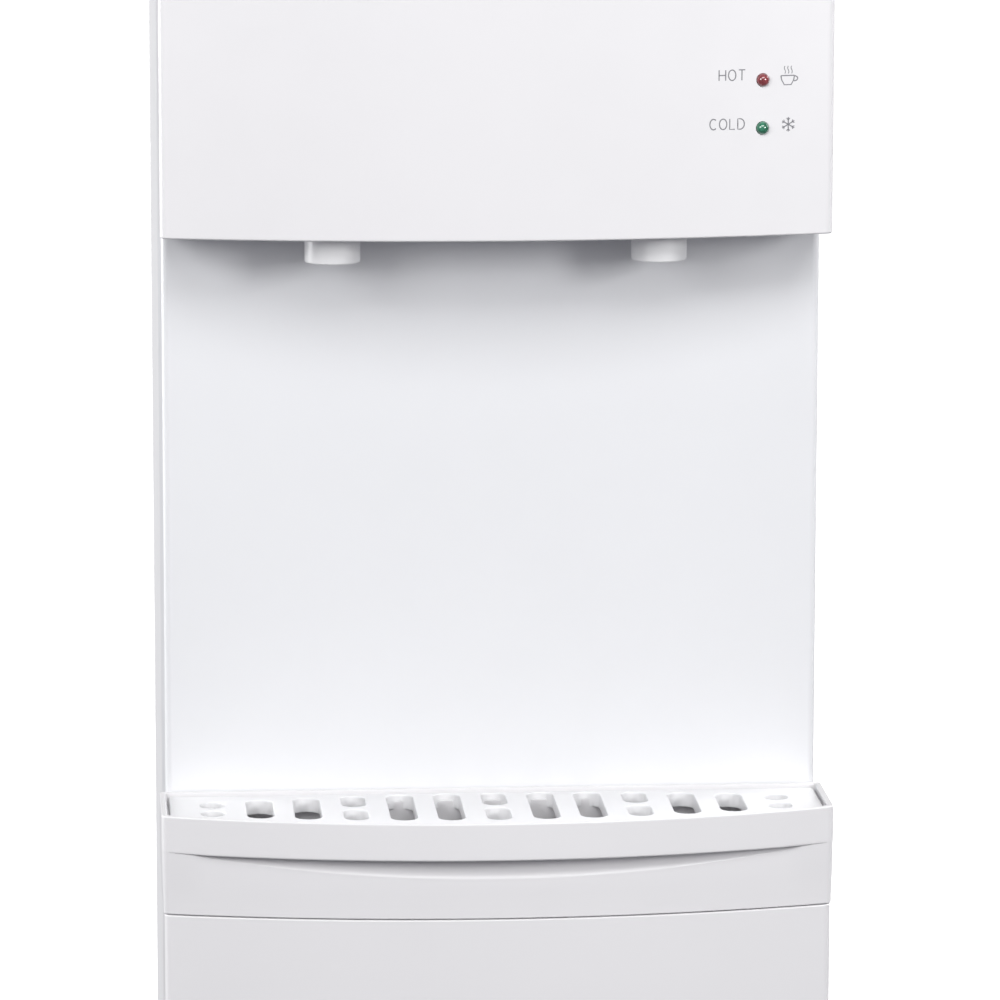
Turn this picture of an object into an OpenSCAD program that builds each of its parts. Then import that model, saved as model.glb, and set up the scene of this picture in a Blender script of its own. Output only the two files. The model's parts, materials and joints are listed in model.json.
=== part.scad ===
// Countertop hot and cold water dispenser, loaded with a bottle from the top.
// Front is -Y, up is +Z, and the origin is on the floor below the middle of the object's box.

/* [Cabinet] */
// Width across the side panels
body_w = 269; // [266:1:270]
// Depth from the recess wall to the outside of the rear panel
body_d = 246; // [244:1:256]
// Height of the top cover's flat face
body_h = 560; // [558:1:572]
// Wall thickness of the moulded shells
shell_t = 2.5; // [2.2:0.1:2.8]
// Thickness of the sheet steel panels and shelves
sheet_t = 1.2; // [1:0.1:1.4]
// Height of the rubber feet
foot_h = 8; // [7:0.5:10]
// Depth of the front frame's returns along the sides
wrap_d = 82; // [70:1:100]

/* [Hood] */
// Width of the hood
hood_w = 271; // [270:1:276]
// Height of the hood's lower edge
hood_z = 395; // [393:1:397]
// Reach of the hood's side edges in front of the recess wall
hood_reach = 33; // [32:1:36]
// Extra reach at the middle of the hood's curve
hood_bulge = 16.5; // [15:0.5:18]
// Height of the plate let into the hood's underside, above its lower edge
under_plate_z = 4; // [3:0.5:5]
// Distance of each indicator from the middle
indicator_x = 105.8; // [100:0.1:108]
// Height of the lower indicator above the hood's lower edge
indicator_z = 43.7; // [40:0.1:50]
// Height from the lower to the upper indicator
indicator_pitch = 19.3; // [17:0.1:22]
// Radius of the indicator lenses
lens_r = 2.7; // [2.4:0.1:3]

/* [Taps] */
// Distance of each tap from the middle
tap_x = 66; // [64:1:68]
// Distance of the tap axis in front of the recess wall
tap_y = 24; // [23:0.5:24]
// Radius of the tap barrel and its nozzle
tap_r = 11.2; // [10.8:0.1:11.5]
// Length of nozzle that stands out below the hood
nozzle_drop = 10.9; // [6:0.1:14]
// Lift of the stem when a key is pushed home
stem_lift = 3; // [2:0.5:3]
// Travel of a push key
key_travel = 5; // [4:0.5:5]
// Width of a push key
key_w = 44; // [38:1:48]
// Height of a push key
key_h = 26; // [22:1:28]

/* [Drip tray] */
// Height of the seam between the lower panel and the tray
seam_z = 120.5; // [118:0.5:126]
// Height of the tray from the seam to its rim
tray_h = 41; // [38:0.5:42]
// Width of the tray
tray_w = 274; // [272:1:276]
// Width of the lower panel
lower_w = 272; // [270:1:276]
// Reach of the tray's and the lower panel's side edges in front of the recess wall
tray_reach = 45; // [43:1:48]
// Extra reach of the tray's lip at the middle
lip_bulge = 24; // [22:0.5:26]
// Extra reach of the tray's body and the lower panel at the middle
lower_bulge = 17; // [15:0.5:19]
// Height of the lip band
lip_h = 15.5; // [12:0.1:16]
// Distance between the grate's slots
slot_pitch = 19.3; // [18.5:0.1:19.5]
// Width of the grate's slots
slot_w = 11; // [9:0.5:12]

/* [Bottle seat] */
// Distance of the bottle seat's axis behind the recess wall
seat_y = 118; // [118:1:119]
// Radius of the bore that takes the bottle's neck
neck_r = 29; // [28:0.5:29]
// Length of the neck bore
neck_h = 30; // [28:1:32]
// Radius of the opening in the top cover
seat_opening_r = 100; // [96:1:104]

/* [Hidden] */
$fn = 96;

// Clearances
seam_gap = 0.4;
slide_gap = 0.3;
fit_gap = 0.05;
cut = 1;

// Heights
base_t = 3;
base_top = foot_h + base_t;
cover_h = 12.5;
cover_z = body_h - cover_h;
hood_top = cover_z - seam_gap;
tray_top = seam_z + tray_h;

// Depths, measured from the recess wall's front face
lip_reach = tray_reach + lip_bulge;
lip_step = 0.4;
spigot_reach = 16;
wall_y = (lip_reach - body_d - spigot_reach) / 2;
rear_t = 1.5;
rear_in = body_d - rear_t;

// Taps
hot_x = -tap_x;
cold_x = tap_x;
nozzle_z = hood_z - nozzle_drop;
tail_z = nozzle_z + 52;
tail_r = 7.5;
tail_bore_r = 4;
tail_end = 26;
seat_z = nozzle_z + 34;
chamber_r = 8.5;
barrel_top = nozzle_z + 72;
cap_t = 6;
pin_r = 2;
pin_z = barrel_top + 18;
crank_y = -tap_y + 13;
head_z = pin_z + 5;
stem_r = 3;
crank_arm = crank_y + tap_y;
push_z = pin_z + crank_arm * key_travel / stem_lift;
push_r = 3;
arm_t = 4;
key_z = push_z + 3;
gasket_t = 1.5;
flange_t = 3;
flange_r = 12.5;
nut_t = 6;

// Drip tray
rim_t = 2.6;
runner_x = 90;
runner_w = 14;
runner_z = seam_z + 6;
runner_h = 4;
runner_gap = 0.7;

// Tanks
cold_r = 70;
cold_z = 397;
cold_top = 514;
tank_t = 1.2;
cold_jacket_r = 86;
jacket_gap = 0.5;
cold_floor_z = 375;
hot_r = 45;
hot_z = 232;
hot_top = 342;
band_t = 2.5;
hot_jacket_r = 60;
port_r = 5;
port_h = 8;
hot_port_z = hot_top - 12;
hot_port_reach = hot_jacket_r + 4;
hose_r = 6;

// Bottle seat
dish_z = body_h - 11;
sleeve_z = dish_z - neck_h;
sleeve_t = 3;
cup_r = 32;
cup_z = 484;
cup_floor = 3;
probe_r = 9;
probe_tip = sleeve_z - 3;

// Cooler
fan_z = 455;
fan_w = 80;
fan_t = 20;
fan_pitch = 71.5;
fan_bore_r = 38;
block_w = 50;
block_back = seat_y + cold_r + 8;
peltier_t = 4;
sink_w = 110;
sink_h = 100;
sink_base = 5;
fin_h = 16;
fan_y = block_back + peltier_t + sink_base + fin_h + 1;

// Rear controls
control_z = 150;
switch_x = 25;
rocker_w = 9.4;
rocker_r = 8.6;
rocker_y = body_d - 1;
rocker_pin_r = 1.2;
rocker_tilt = 10;
inlet_x = -70;
inlet_z = 60;
drain_x = 70;
drain_z = 40;
drain_r = 8;
spigot_l = 13;

// Electrics, lowest and highest corners
board_low = [-10, 55, base_top + 10];
board_high = [105, 125, base_top + 11.6];
supply_low = [-115, 55, base_top + 10];
supply_high = [-40, 155, base_top + 46];

// Screws
screw_r = 1.7;
screw_hole_r = 1.9;
screw_head_r = 3.6;
screw_head_t = 2;
screw_l = 13;

foot_places = [[-105, -22], [105, -22], [-105, body_d - 30], [105, body_d - 30]];
foot_r = 12;
foot_recess_h = 3.5;
hood_screw_places = [for (x = [-118, 118], z = [hood_z + 20, hood_top - 14]) [x, z]];
rear_screw_places = [for (x = [-126, 126], z = [30, 210, 390, 532]) [x, z]];
slot_count = 6;

// Puts a part that is drawn from the recess wall into the object's own frame
module place() {
    translate([0, wall_y, 0]) children();
}

// Flat outline with straight sides and a bowed front, inset evenly, back edge at y = back
module bow(w, reach, bulge, inset = 0, back = 0) {
    r = (w * w / 4 + bulge * bulge) / (2 * bulge);
    front = reach + bulge;
    intersection() {
        translate([0, r - front]) circle(r = r - inset, $fn = 200);
        translate([-w / 2 + inset, -front - cut]) square([w - 2 * inset, front + cut + back]);
    }
}

// Bowed block between two heights
module bow_block(w, reach, bulge, z0, z1, inset = 0, back = 0) {
    translate([0, 0, z0]) linear_extrude(z1 - z0) bow(w, reach, bulge, inset, back);
}

// Block from its lowest to its highest corner
module block(low, high) {
    translate(low) cube(high - low);
}

// Cylinder that runs along Y from y0 to y1
module rod_y(x, y0, y1, z, r) {
    translate([x, y0, z]) rotate([-90, 0, 0]) cylinder(r = r, h = y1 - y0);
}

// Cylinder that runs along X, centred on x
module rod_x(x, y, z, r, length) {
    translate([x - length / 2, y, z]) rotate([0, 90, 0]) cylinder(r = r, h = length);
}

// Slot with round ends that runs along Y
module slot_y(x, y0, y1, w) {
    translate([x - w / 2, y0 + w / 2]) square([w, y1 - y0 - w]);
    translate([x, y0 + w / 2]) circle(d = w, $fn = 32);
    translate([x, y1 - w / 2]) circle(d = w, $fn = 32);
}

// Point on a cubic curve
function bezier(p, t) =
    pow(1 - t, 3) * p[0] + 3 * t * pow(1 - t, 2) * p[1] + 3 * t * t * (1 - t) * p[2] + pow(t, 3) * p[3];

function unit(v) = v / norm(v);

// Direction of a cubic curve
function bezier_heading(p, t) =
    unit(pow(1 - t, 2) * (p[1] - p[0]) + 2 * t * (1 - t) * (p[2] - p[1]) + t * t * (p[3] - p[2]));

// Ring of points round a route's point, on the plane across the route
function ring(centre, ahead, side, r, sides) =
    let (u = unit(side - (side * ahead) * ahead), v = cross(ahead, u))
    [for (k = [0 : sides - 1]) centre + r * (cos(360 * k / sides) * u + sin(360 * k / sides) * v)];

// Closed tube swept along a route with its headings; side is a direction that the route never takes
module swept(route, headings, r, side, sides) {
    last = len(route) - 1;
    points = [for (i = [0 : last]) each ring(route[i], headings[i], side, r, sides)];
    walls = [for (i = [0 : last - 1], k = [0 : sides - 1])
        let (a = i * sides + k, b = i * sides + (k + 1) % sides)
        each [[a, b, b + sides], [a, b + sides, a + sides]]];
    start_cap = [[for (k = [sides - 1 : -1 : 0]) k]];
    end_cap = [[for (k = [0 : sides - 1]) last * sides + k]];
    polyhedron(points = points, faces = concat(walls, start_cap, end_cap));
}

// Tube on a chain of cubic curves that meet end to end
module hose(curves, r, side, steps = 16, sides = 10) {
    route = [for (c = [0 : len(curves) - 1], i = [c == 0 ? 0 : 1 : steps]) bezier(curves[c], i / steps)];
    headings = [for (c = [0 : len(curves) - 1], i = [c == 0 ? 0 : 1 : steps])
        bezier_heading(curves[c], i / steps)];
    swept(route, headings, r, side, sides);
}

// Pan head screw along Z, its head below the plane z = 0 and its shank above
module screw() {
    translate([0, 0, -screw_head_t]) cylinder(r = screw_head_r, h = screw_head_t);
    cylinder(r = screw_r, h = screw_l);
}

// ---- Case ----

module chassis_base() {
    post_r = 3.5;
    post_h = 10;
    color("lightgrey") place() difference() {
        union() {
            bow_block(lower_w, tray_reach, lower_bulge, foot_h, base_top);
            block([-body_w / 2, 0, foot_h], [body_w / 2, body_d, base_top]);
            for (x = [-95, 15], y = [60, 120]) {
                translate([x, y, foot_h]) cylinder(r = post_r, h = base_t + post_h);
            }
            for (x = [40, 110], y = [60, 150]) {
                translate([x, y, foot_h]) cylinder(r = post_r, h = base_t + post_h);
            }
        }
        for (p = foot_places) {
            translate([p[0], p[1], foot_h - cut]) cylinder(r = screw_hole_r, h = base_t + 2 * cut);
        }
    }
}

module rubber_feet() {
    recess_r = 5;
    color("dimgrey") place() for (p = foot_places) {
        translate([p[0], p[1], 0]) difference() {
            cylinder(r = foot_r, h = foot_h);
            translate([0, 0, -cut]) cylinder(r = recess_r, h = foot_recess_h + cut);
            translate([0, 0, -cut]) cylinder(r = screw_hole_r, h = foot_h + 2 * cut);
        }
    }
}

// Identical screws of the feet, the rear panel and the hood
module case_screws() {
    color("silver") place() {
        for (p = foot_places) {
            translate([p[0], p[1], foot_recess_h]) screw();
        }
        for (p = rear_screw_places) {
            translate([p[0], body_d, p[1]]) rotate([90, 0, 0]) screw();
        }
        for (p = hood_screw_places) {
            translate([p[0], shell_t, p[1]]) rotate([90, 0, 0]) screw();
        }
    }
}

// Side panel with an inward flange at its rear edge, on the side given by the sign s
module side_panel(s) {
    flange_w = 14;
    y0 = wrap_d + seam_gap;
    mirror([s > 0 ? 0 : 1, 0, 0]) difference() {
        union() {
            block([body_w / 2 - sheet_t, y0, base_top], [body_w / 2, rear_in, cover_z]);
            block([body_w / 2 - flange_w, rear_in - sheet_t, base_top], [body_w / 2, rear_in, cover_z]);
        }
        for (p = rear_screw_places) {
            rod_y(abs(p[0]), rear_in - 2 * sheet_t, rear_in + cut, p[1], screw_hole_r);
        }
    }
}

module side_panel_left() {
    color("white") place() side_panel(-1);
}

module side_panel_right() {
    color("white") place() side_panel(1);
}

module rear_panel() {
    grille_r = 36;
    bar = 7;
    gap = 4;
    vent_z = hot_z + 42;
    vent_half = 25;
    color("white") place() difference() {
        block([-body_w / 2 + seam_gap, rear_in, base_top + seam_gap],
            [body_w / 2 - seam_gap, body_d, cover_z - seam_gap]);
        // fan grille: slots that end on a circle, with a bar down the middle
        for (i = [-5 : 5], s = [-1, 1]) {
            half = sqrt(grille_r * grille_r - pow(i * bar, 2));
            if (half > bar) {
                block([s > 0 ? bar / 4 : -half, rear_in - cut, fan_z + i * bar - gap / 2],
                    [s > 0 ? half : -bar / 4, body_d + cut, fan_z + i * bar + gap / 2]);
            }
        }
        // vents beside the hot tank
        for (i = [0 : 7], x = [-70, 0, 70]) {
            z = vent_z + i * bar;
            block([x - vent_half, rear_in - cut, z], [x + vent_half, body_d + cut, z + gap]);
        }
        for (p = rear_screw_places) {
            rod_y(p[0], rear_in - cut, body_d + cut, p[1], screw_hole_r);
        }
        for (x = [-switch_x, switch_x]) {
            block([x - 7, rear_in - cut, control_z - 11], [x + 7, body_d + cut, control_z + 11]);
        }
        block([inlet_x - 14, rear_in - cut, inlet_z - 10], [inlet_x + 14, body_d + cut, inlet_z + 10]);
        rod_y(drain_x, rear_in - cut, body_d + cut, drain_z, drain_r + slide_gap);
    }
}

module top_cover() {
    plate_t = 3;
    color("white") place() difference() {
        union() {
            bow_block(hood_w, hood_reach, hood_bulge, cover_z, body_h, 0, cut);
            block([-body_w / 2, 0, cover_z], [body_w / 2, body_d, body_h]);
        }
        bow_block(hood_w, hood_reach, hood_bulge, cover_z - cut, body_h - plate_t, shell_t, 2 * shell_t);
        block([-body_w / 2 + shell_t, 0, cover_z - cut],
            [body_w / 2 - shell_t, body_d - shell_t, body_h - plate_t]);
        translate([0, seat_y, cover_z]) cylinder(r = seat_opening_r, h = cover_h + cut);
    }
}

module front_frame() {
    color("white") place() difference() {
        union() {
            block([-body_w / 2, 0, base_top], [body_w / 2, shell_t, cover_z]);
            for (s = [-1, 1]) {
                edge = s * body_w / 2;
                block([min(edge, edge - s * shell_t), 0, base_top],
                    [max(edge, edge - s * shell_t), wrap_d, cover_z]);
            }
        }
        for (x = [hot_x, cold_x]) {
            rod_y(x, -cut, shell_t + cut, tail_z, tail_r + slide_gap);
        }
        // slots for the drip tray's runners
        for (x = [-runner_x, runner_x]) {
            block([x - runner_w / 2 - 1, -cut, runner_z - runner_gap],
                [x + runner_w / 2 + 1, shell_t + cut, runner_z + runner_h + runner_gap]);
        }
        for (p = hood_screw_places) {
            rod_y(p[0], -cut, shell_t + cut, p[1], screw_hole_r);
        }
        // lead of the indicator board
        rod_y(indicator_x - 20, -cut, shell_t + cut, hood_z + indicator_z + 10, 4);
    }
}

module hood() {
    lens_hole_r = lens_r + slide_gap / 3;
    boss_r = 4.5;
    boss_l = 14;
    pilot_r = 1.7;
    notch_r = tap_r + 0.6;
    plate_z = hood_z + under_plate_z;
    color("white") place() difference() {
        union() {
            difference() {
                bow_block(hood_w, hood_reach, hood_bulge, hood_z, hood_top, 0, -slide_gap);
                bow_block(hood_w, hood_reach, hood_bulge, hood_z - cut, plate_z, shell_t, cut);
                bow_block(hood_w, hood_reach, hood_bulge, plate_z + shell_t, hood_top + cut, shell_t, cut);
            }
            for (p = hood_screw_places) {
                rod_y(p[0], -boss_l, -slide_gap, p[1], boss_r);
                sign_x = sign(p[0]);
                block([min(p[0], sign_x * (hood_w / 2 - cut)), -boss_l, p[1] - 1.25],
                    [max(p[0], sign_x * (hood_w / 2 - cut)), -slide_gap, p[1] + 1.25]);
            }
        }
        for (p = hood_screw_places) {
            rod_y(p[0], -boss_l + 2, cut, p[1], pilot_r);
        }
        for (x = [hot_x, cold_x]) {
            // notch that is open to the rear, so that the hood goes on over the nozzle from the front
            translate([x, -tap_y, plate_z - cut]) cylinder(r = notch_r, h = shell_t + 2 * cut);
            block([x - notch_r, -tap_y, plate_z - cut], [x + notch_r, cut, plate_z + shell_t + cut]);
            block([x - key_w / 2 - slide_gap, -hood_reach - hood_bulge - cut, key_z - slide_gap],
                [x + key_w / 2 + slide_gap, -hood_reach, key_z + key_h + slide_gap]);
        }
        for (z = [0, indicator_pitch]) {
            rod_y(indicator_x, -hood_reach - hood_bulge, -30, hood_z + indicator_z + z, lens_hole_r);
        }
    }
}

module lower_front_panel() {
    deck_z = seam_z - seam_gap;
    color("white") place() difference() {
        bow_block(lower_w, tray_reach, lower_bulge, base_top, deck_z, 0, -slide_gap);
        bow_block(lower_w, tray_reach, lower_bulge, base_top - cut, deck_z - shell_t, shell_t, cut);
    }
}

// ---- Drip tray ----

// Bowed block with the outline of the tray's lip
module lip_block(z0, z1, inset, back) {
    bow_block(tray_w, tray_reach + lip_step, lip_bulge - lip_step, z0, z1, inset, back);
}

module drip_tray() {
    floor_t = 2.5;
    ledge_z = tray_top - 4;
    lip_z = tray_top - lip_h;
    back = -seam_gap;
    inner_back = back - rim_t;
    color("white") place() {
        difference() {
            union() {
                bow_block(tray_w, tray_reach, lower_bulge, seam_z, lip_z, 0, back);
                lip_block(lip_z, tray_top, 0, back);
            }
            // basin, with a ledge under the grate
            bow_block(tray_w, tray_reach, lower_bulge, seam_z + floor_t, tray_top + cut, 6, inner_back - 3);
            lip_block(ledge_z, tray_top + cut, rim_t, inner_back);
        }
        // runners that slide in the front frame
        for (x = [-runner_x, runner_x]) {
            block([x - runner_w / 2, back - cut, runner_z], [x + runner_w / 2, 24, runner_z + runner_h]);
        }
    }
}

// Where the grate's slots start and end, on arcs that close in towards the sides
function slot_rear(x) = -5 - 10 * pow(x / 116, 2);
function slot_front(x) = -54.5 + 13 * pow(x / 116, 2);

// Outline of the grate's holes, grown by grow
module grate_holes(grow) {
    bridge = 4;
    for (k = [-slot_count : slot_count]) {
        x = k * slot_pitch;
        rear = slot_rear(x) + grow;
        front = slot_front(x) - grow;
        middle = (slot_rear(x) + slot_front(x)) / 2;
        if (k % 3 == 0) {
            slot_y(x, middle + bridge / 2 - grow, rear, slot_w - 1 + 2 * grow);
            slot_y(x, front, middle - bridge / 2 + grow, slot_w - 1 + 2 * grow);
        } else {
            slot_y(x, front, rear, slot_w + 2 * grow);
        }
    }
}

module drip_grate() {
    plate_t = 2.5;
    collar_h = 3.5;
    collar_t = 1;
    edge_gap = 1.1;
    back = -seam_gap - rim_t - edge_gap;
    z0 = tray_top - 4;
    color("white") place() difference() {
        union() {
            lip_block(z0, z0 + plate_t, rim_t + edge_gap, back);
            translate([0, 0, z0 - collar_h]) linear_extrude(collar_h + cut) intersection() {
                grate_holes(collar_t);
                bow(tray_w, tray_reach, lower_bulge, 7, back - 3.5);
            }
        }
        translate([0, 0, z0 - collar_h - cut]) linear_extrude(collar_h + plate_t + 2 * cut) grate_holes(0);
    }
}

// ---- Indicators ----

// Indicator lens at the given height above the hood's lower edge
module lens(z) {
    reach = hood_reach + hood_bulge * (1 - pow(indicator_x / (hood_w / 2), 2));
    at = [indicator_x, -reach + 0.6, hood_z + indicator_z + z];
    translate(at) sphere(r = lens_r, $fn = 48);
    rod_y(at[0], at[1], -32, at[2], lens_r);
    rod_y(at[0], -33, -32, at[2], lens_r + 1);
}

module hot_lens() {
    color("firebrick") place() lens(indicator_pitch);
}

module cold_lens() {
    color("seagreen") place() lens(0);
}

module indicator_board() {
    z = hood_z + indicator_z + indicator_pitch / 2;
    color("darkgreen") place() {
        block([indicator_x - 14, -32, z - 20], [indicator_x + 10, -30.4, z + 20]);
        block([indicator_x - 12, -30.4, z - 6], [indicator_x - 6, -24, z + 6]);
    }
}

// ---- Taps ----

// Push key with a rear flange and a rod that reaches the crank
module push_key(x) {
    low = key_z;
    flange_w = 3;
    flange_low = push_z - push_r - 1.5;
    proud = 2;
    skin = 2.5;
    tip_y = crank_y - arm_t / 2 - slide_gap - push_r;
    module slice(inset, w, z0, z1) {
        intersection() {
            bow_block(hood_w, hood_reach, hood_bulge, z0, z1, inset, 0);
            block([x - w / 2, -hood_reach - hood_bulge - 10, z0], [x + w / 2, -36, z1]);
        }
    }
    difference() {
        slice(-proud, key_w, low, low + key_h);
        slice(-proud + skin, key_w - 2 * skin, low + skin, low + key_h - skin);
    }
    difference() {
        slice(shell_t + 0.4, key_w + 2 * flange_w, flange_low, low + key_h + flange_w);
        slice(shell_t + 2.4, key_w + 2 * flange_w + cut, flange_low - cut, low + key_h + flange_w + cut);
    }
    rod_y(x, -hood_reach - 8, tip_y, push_z, push_r);
    translate([x, tip_y, push_z]) sphere(r = push_r, $fn = 48);
}

module hot_key() {
    color("white") place() push_key(hot_x);
}

module cold_key() {
    color("white") place() push_key(cold_x);
}

// Bell crank on a cross pin: its fork lies under the stem's head, its upper arm behind the key's rod
module lever(x) {
    hub_r = 4.2;
    hub_w = 13;
    tine_in = stem_r + 0.5;
    tine_w = 2.6;
    tine_r = 2.2;
    tip_z = head_z - 0.4 - tine_r;
    difference() {
        union() {
            rod_x(x, crank_y, pin_z, hub_r, hub_w);
            block([x - 4, crank_y - arm_t / 2, pin_z], [x + 4, crank_y + arm_t / 2, push_z + 5]);
            for (s = [-1, 1]) {
                middle = x + s * (tine_in + tine_w / 2);
                rod_x(middle, -tap_y, tip_z, tine_r, tine_w);
                block([middle - tine_w / 2, -tap_y, tip_z - tine_r],
                    [middle + tine_w / 2, crank_y, tip_z + tine_r]);
            }
        }
        rod_x(x, crank_y, pin_z, pin_r + fit_gap, hub_w + 2 * cut + 4);
    }
}

module hot_lever() {
    color("whitesmoke") place() lever(hot_x);
}

module cold_lever() {
    color("whitesmoke") place() lever(cold_x);
}

module tap_pins() {
    color("silver") place() for (x = [hot_x, cold_x]) {
        rod_x(x, crank_y, pin_z, pin_r, 23);
    }
}

// Stem with its valve plug below and its head above the crank's fork
module stem(x) {
    plug_r = 6.5;
    plug_h = 4;
    head_r = 6.4;
    head_t = 3;
    translate([x, -tap_y, seat_z]) {
        cylinder(r = plug_r, h = plug_h);
        cylinder(r = stem_r, h = head_z + head_t - seat_z);
        translate([0, 0, head_z - seat_z]) cylinder(r = head_r, h = head_t);
    }
}

module hot_stem() {
    color("silver") place() stem(hot_x);
}

module cold_stem() {
    color("silver") place() stem(cold_x);
}

// Compression spring between the valve plug and the cap
module valve_spring(x) {
    wire_r = 0.6;
    coil_r = 5;
    turns = 5;
    per_turn = 12;
    last = turns * per_turn;
    z0 = seat_z + 4 + wire_r + 0.1;
    rise = barrel_top - wire_r - 0.1 - z0;
    route = [for (i = [0 : last])
        let (a = 360 * i / per_turn)
        [x + coil_r * cos(a), -tap_y + coil_r * sin(a), z0 + rise * i / last]];
    headings = [for (i = [0 : last])
        let (a = 360 * i / per_turn)
        unit([-sin(a), cos(a), rise / (2 * PI * coil_r * turns)])];
    swept(route, headings, wire_r, [0, 0, 1], 6);
}

module hot_spring() {
    color("silver") place() valve_spring(hot_x);
}

module cold_spring() {
    color("silver") place() valve_spring(cold_x);
}

// Tap body: upright barrel with the nozzle below, and a tail that passes through the recess wall
module tap_body(x) {
    nozzle_bore_r = 7.5;
    seat_bore_r = 4;
    seat_t = 3;
    barb_r = 5.5;
    difference() {
        union() {
            translate([x, -tap_y, nozzle_z]) cylinder(r = tap_r, h = barrel_top - nozzle_z);
            rod_y(x, -tap_y, 18, tail_z, tail_r);
            rod_y(x, -gasket_t - flange_t, -gasket_t, tail_z, flange_r);
            rod_y(x, 18, tail_end, tail_z, barb_r);
        }
        translate([x, -tap_y, nozzle_z - cut]) {
            cylinder(r = nozzle_bore_r, h = seat_z - seat_t - nozzle_z + cut);
        }
        translate([x, -tap_y, seat_z - seat_t - cut]) cylinder(r = seat_bore_r, h = seat_t + 2 * cut);
        translate([x, -tap_y, seat_z]) cylinder(r = chamber_r, h = barrel_top - seat_z + cut);
        rod_y(x, -tap_y, tail_end + cut, tail_z, tail_bore_r);
    }
}

module hot_tap_body() {
    color("white") place() tap_body(hot_x);
}

module cold_tap_body() {
    color("white") place() tap_body(cold_x);
}

// Caps that guide the stems and carry the crank pins between two ears
module tap_caps() {
    ear_in = 7;
    ear_t = 3;
    ear_w = 9;
    ear_r = ear_w / 2;
    color("whitesmoke") place() for (x = [hot_x, cold_x]) {
        difference() {
            union() {
                translate([x, -tap_y, barrel_top]) cylinder(r = tap_r, h = cap_t);
                block([x - ear_in - ear_t, -tap_y, barrel_top],
                    [x + ear_in + ear_t, crank_y + ear_r, barrel_top + cap_t - 1]);
                for (s = [-1, 1]) {
                    side = x + s * (ear_in + ear_t / 2);
                    block([side - ear_t / 2, crank_y - ear_r, barrel_top],
                        [side + ear_t / 2, crank_y + ear_r, pin_z]);
                    rod_x(side, crank_y, pin_z, ear_r, ear_t);
                }
            }
            translate([x, -tap_y, barrel_top - cut]) cylinder(r = stem_r + fit_gap, h = cap_t + 2 * cut);
            rod_x(x, crank_y, pin_z, pin_r, 24);
        }
    }
}

module tap_gaskets() {
    color("dimgrey") place() for (x = [hot_x, cold_x]) {
        difference() {
            rod_y(x, -gasket_t, 0, tail_z, flange_r);
            rod_y(x, -gasket_t - cut, cut, tail_z, tail_r);
        }
    }
}

module tap_nuts() {
    nut_r = 13;
    color("silver") place() for (x = [hot_x, cold_x]) {
        difference() {
            translate([x, shell_t, tail_z]) rotate([-90, 0, 0]) cylinder(r = nut_r, h = nut_t, $fn = 6);
            rod_y(x, shell_t - cut, shell_t + nut_t + cut, tail_z, tail_r);
        }
    }
}

// ---- Bottle seat ----

module bottle_collar() {
    rim_r = seat_opening_r + 8;
    skirt_r = seat_opening_r - 0.5;
    crown_z = body_h + 9;
    cup_out = cup_r + sleeve_t;
    holes = 6;
    color("gainsboro") place() translate([0, seat_y, 0]) difference() {
        rotate_extrude() polygon([
            [neck_r, dish_z],
            [neck_r + 3, dish_z + 3],
            [seat_opening_r - 14, crown_z - 3],
            [seat_opening_r - 8, crown_z],
            [seat_opening_r, crown_z],
            [rim_r, body_h + 4],
            [rim_r, body_h],
            [skirt_r, body_h],
            [skirt_r, body_h - 8],
            [skirt_r - 3, body_h - 8],
            [skirt_r - 3, body_h],
            [seat_opening_r - 14, crown_z - 6],
            [cup_out, dish_z - 1],
            [cup_out, cup_z - cup_floor],
            [0, cup_z - cup_floor],
            [0, cup_z],
            [cup_r, cup_z],
            [cup_r, sleeve_z],
            [neck_r, sleeve_z]
        ]);
        for (i = [0 : holes - 1]) {
            rotate([0, 0, i * 360 / holes + 30]) translate([24, 0, cup_z - cup_floor - cut]) {
                cylinder(r = 4, h = cup_floor + 2 * cut);
            }
        }
        translate([0, 0, cup_z - cup_floor - cut]) cylinder(r = 6, h = cup_floor + 2 * cut);
    }
}

module collar_seal() {
    ring_in = cup_r + sleeve_t + 0.4;
    color("dimgrey") place() translate([0, seat_y, cold_top]) difference() {
        cylinder(r = ring_in + 8, h = 4);
        translate([0, 0, -cut]) cylinder(r = ring_in, h = 4 + 2 * cut);
    }
}

// Hollow probe that opens the bottle's cap
module feed_probe() {
    flange_h = 3;
    color("white") place() translate([0, seat_y, 0]) difference() {
        union() {
            translate([0, 0, cup_z]) cylinder(r = 18, h = flange_h);
            translate([0, 0, cup_z - cup_floor - 6]) cylinder(r = 5.9, h = cup_floor + 6 + cut);
            translate([0, 0, cup_z]) cylinder(r = probe_r, h = probe_tip - 8 - cup_z);
            translate([0, 0, probe_tip - 8]) cylinder(r1 = probe_r, r2 = 4, h = 8);
        }
        translate([0, 0, cup_z - cup_floor - 6 - cut]) {
            cylinder(r = 4, h = probe_tip - 6 - cup_z + cup_floor);
        }
        for (a = [0, 90]) {
            rotate([0, 0, a]) rod_y(0, -probe_r - cut, probe_r + cut, probe_tip - 14, 2.5);
        }
    }
}

// ---- Cold side ----

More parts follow.
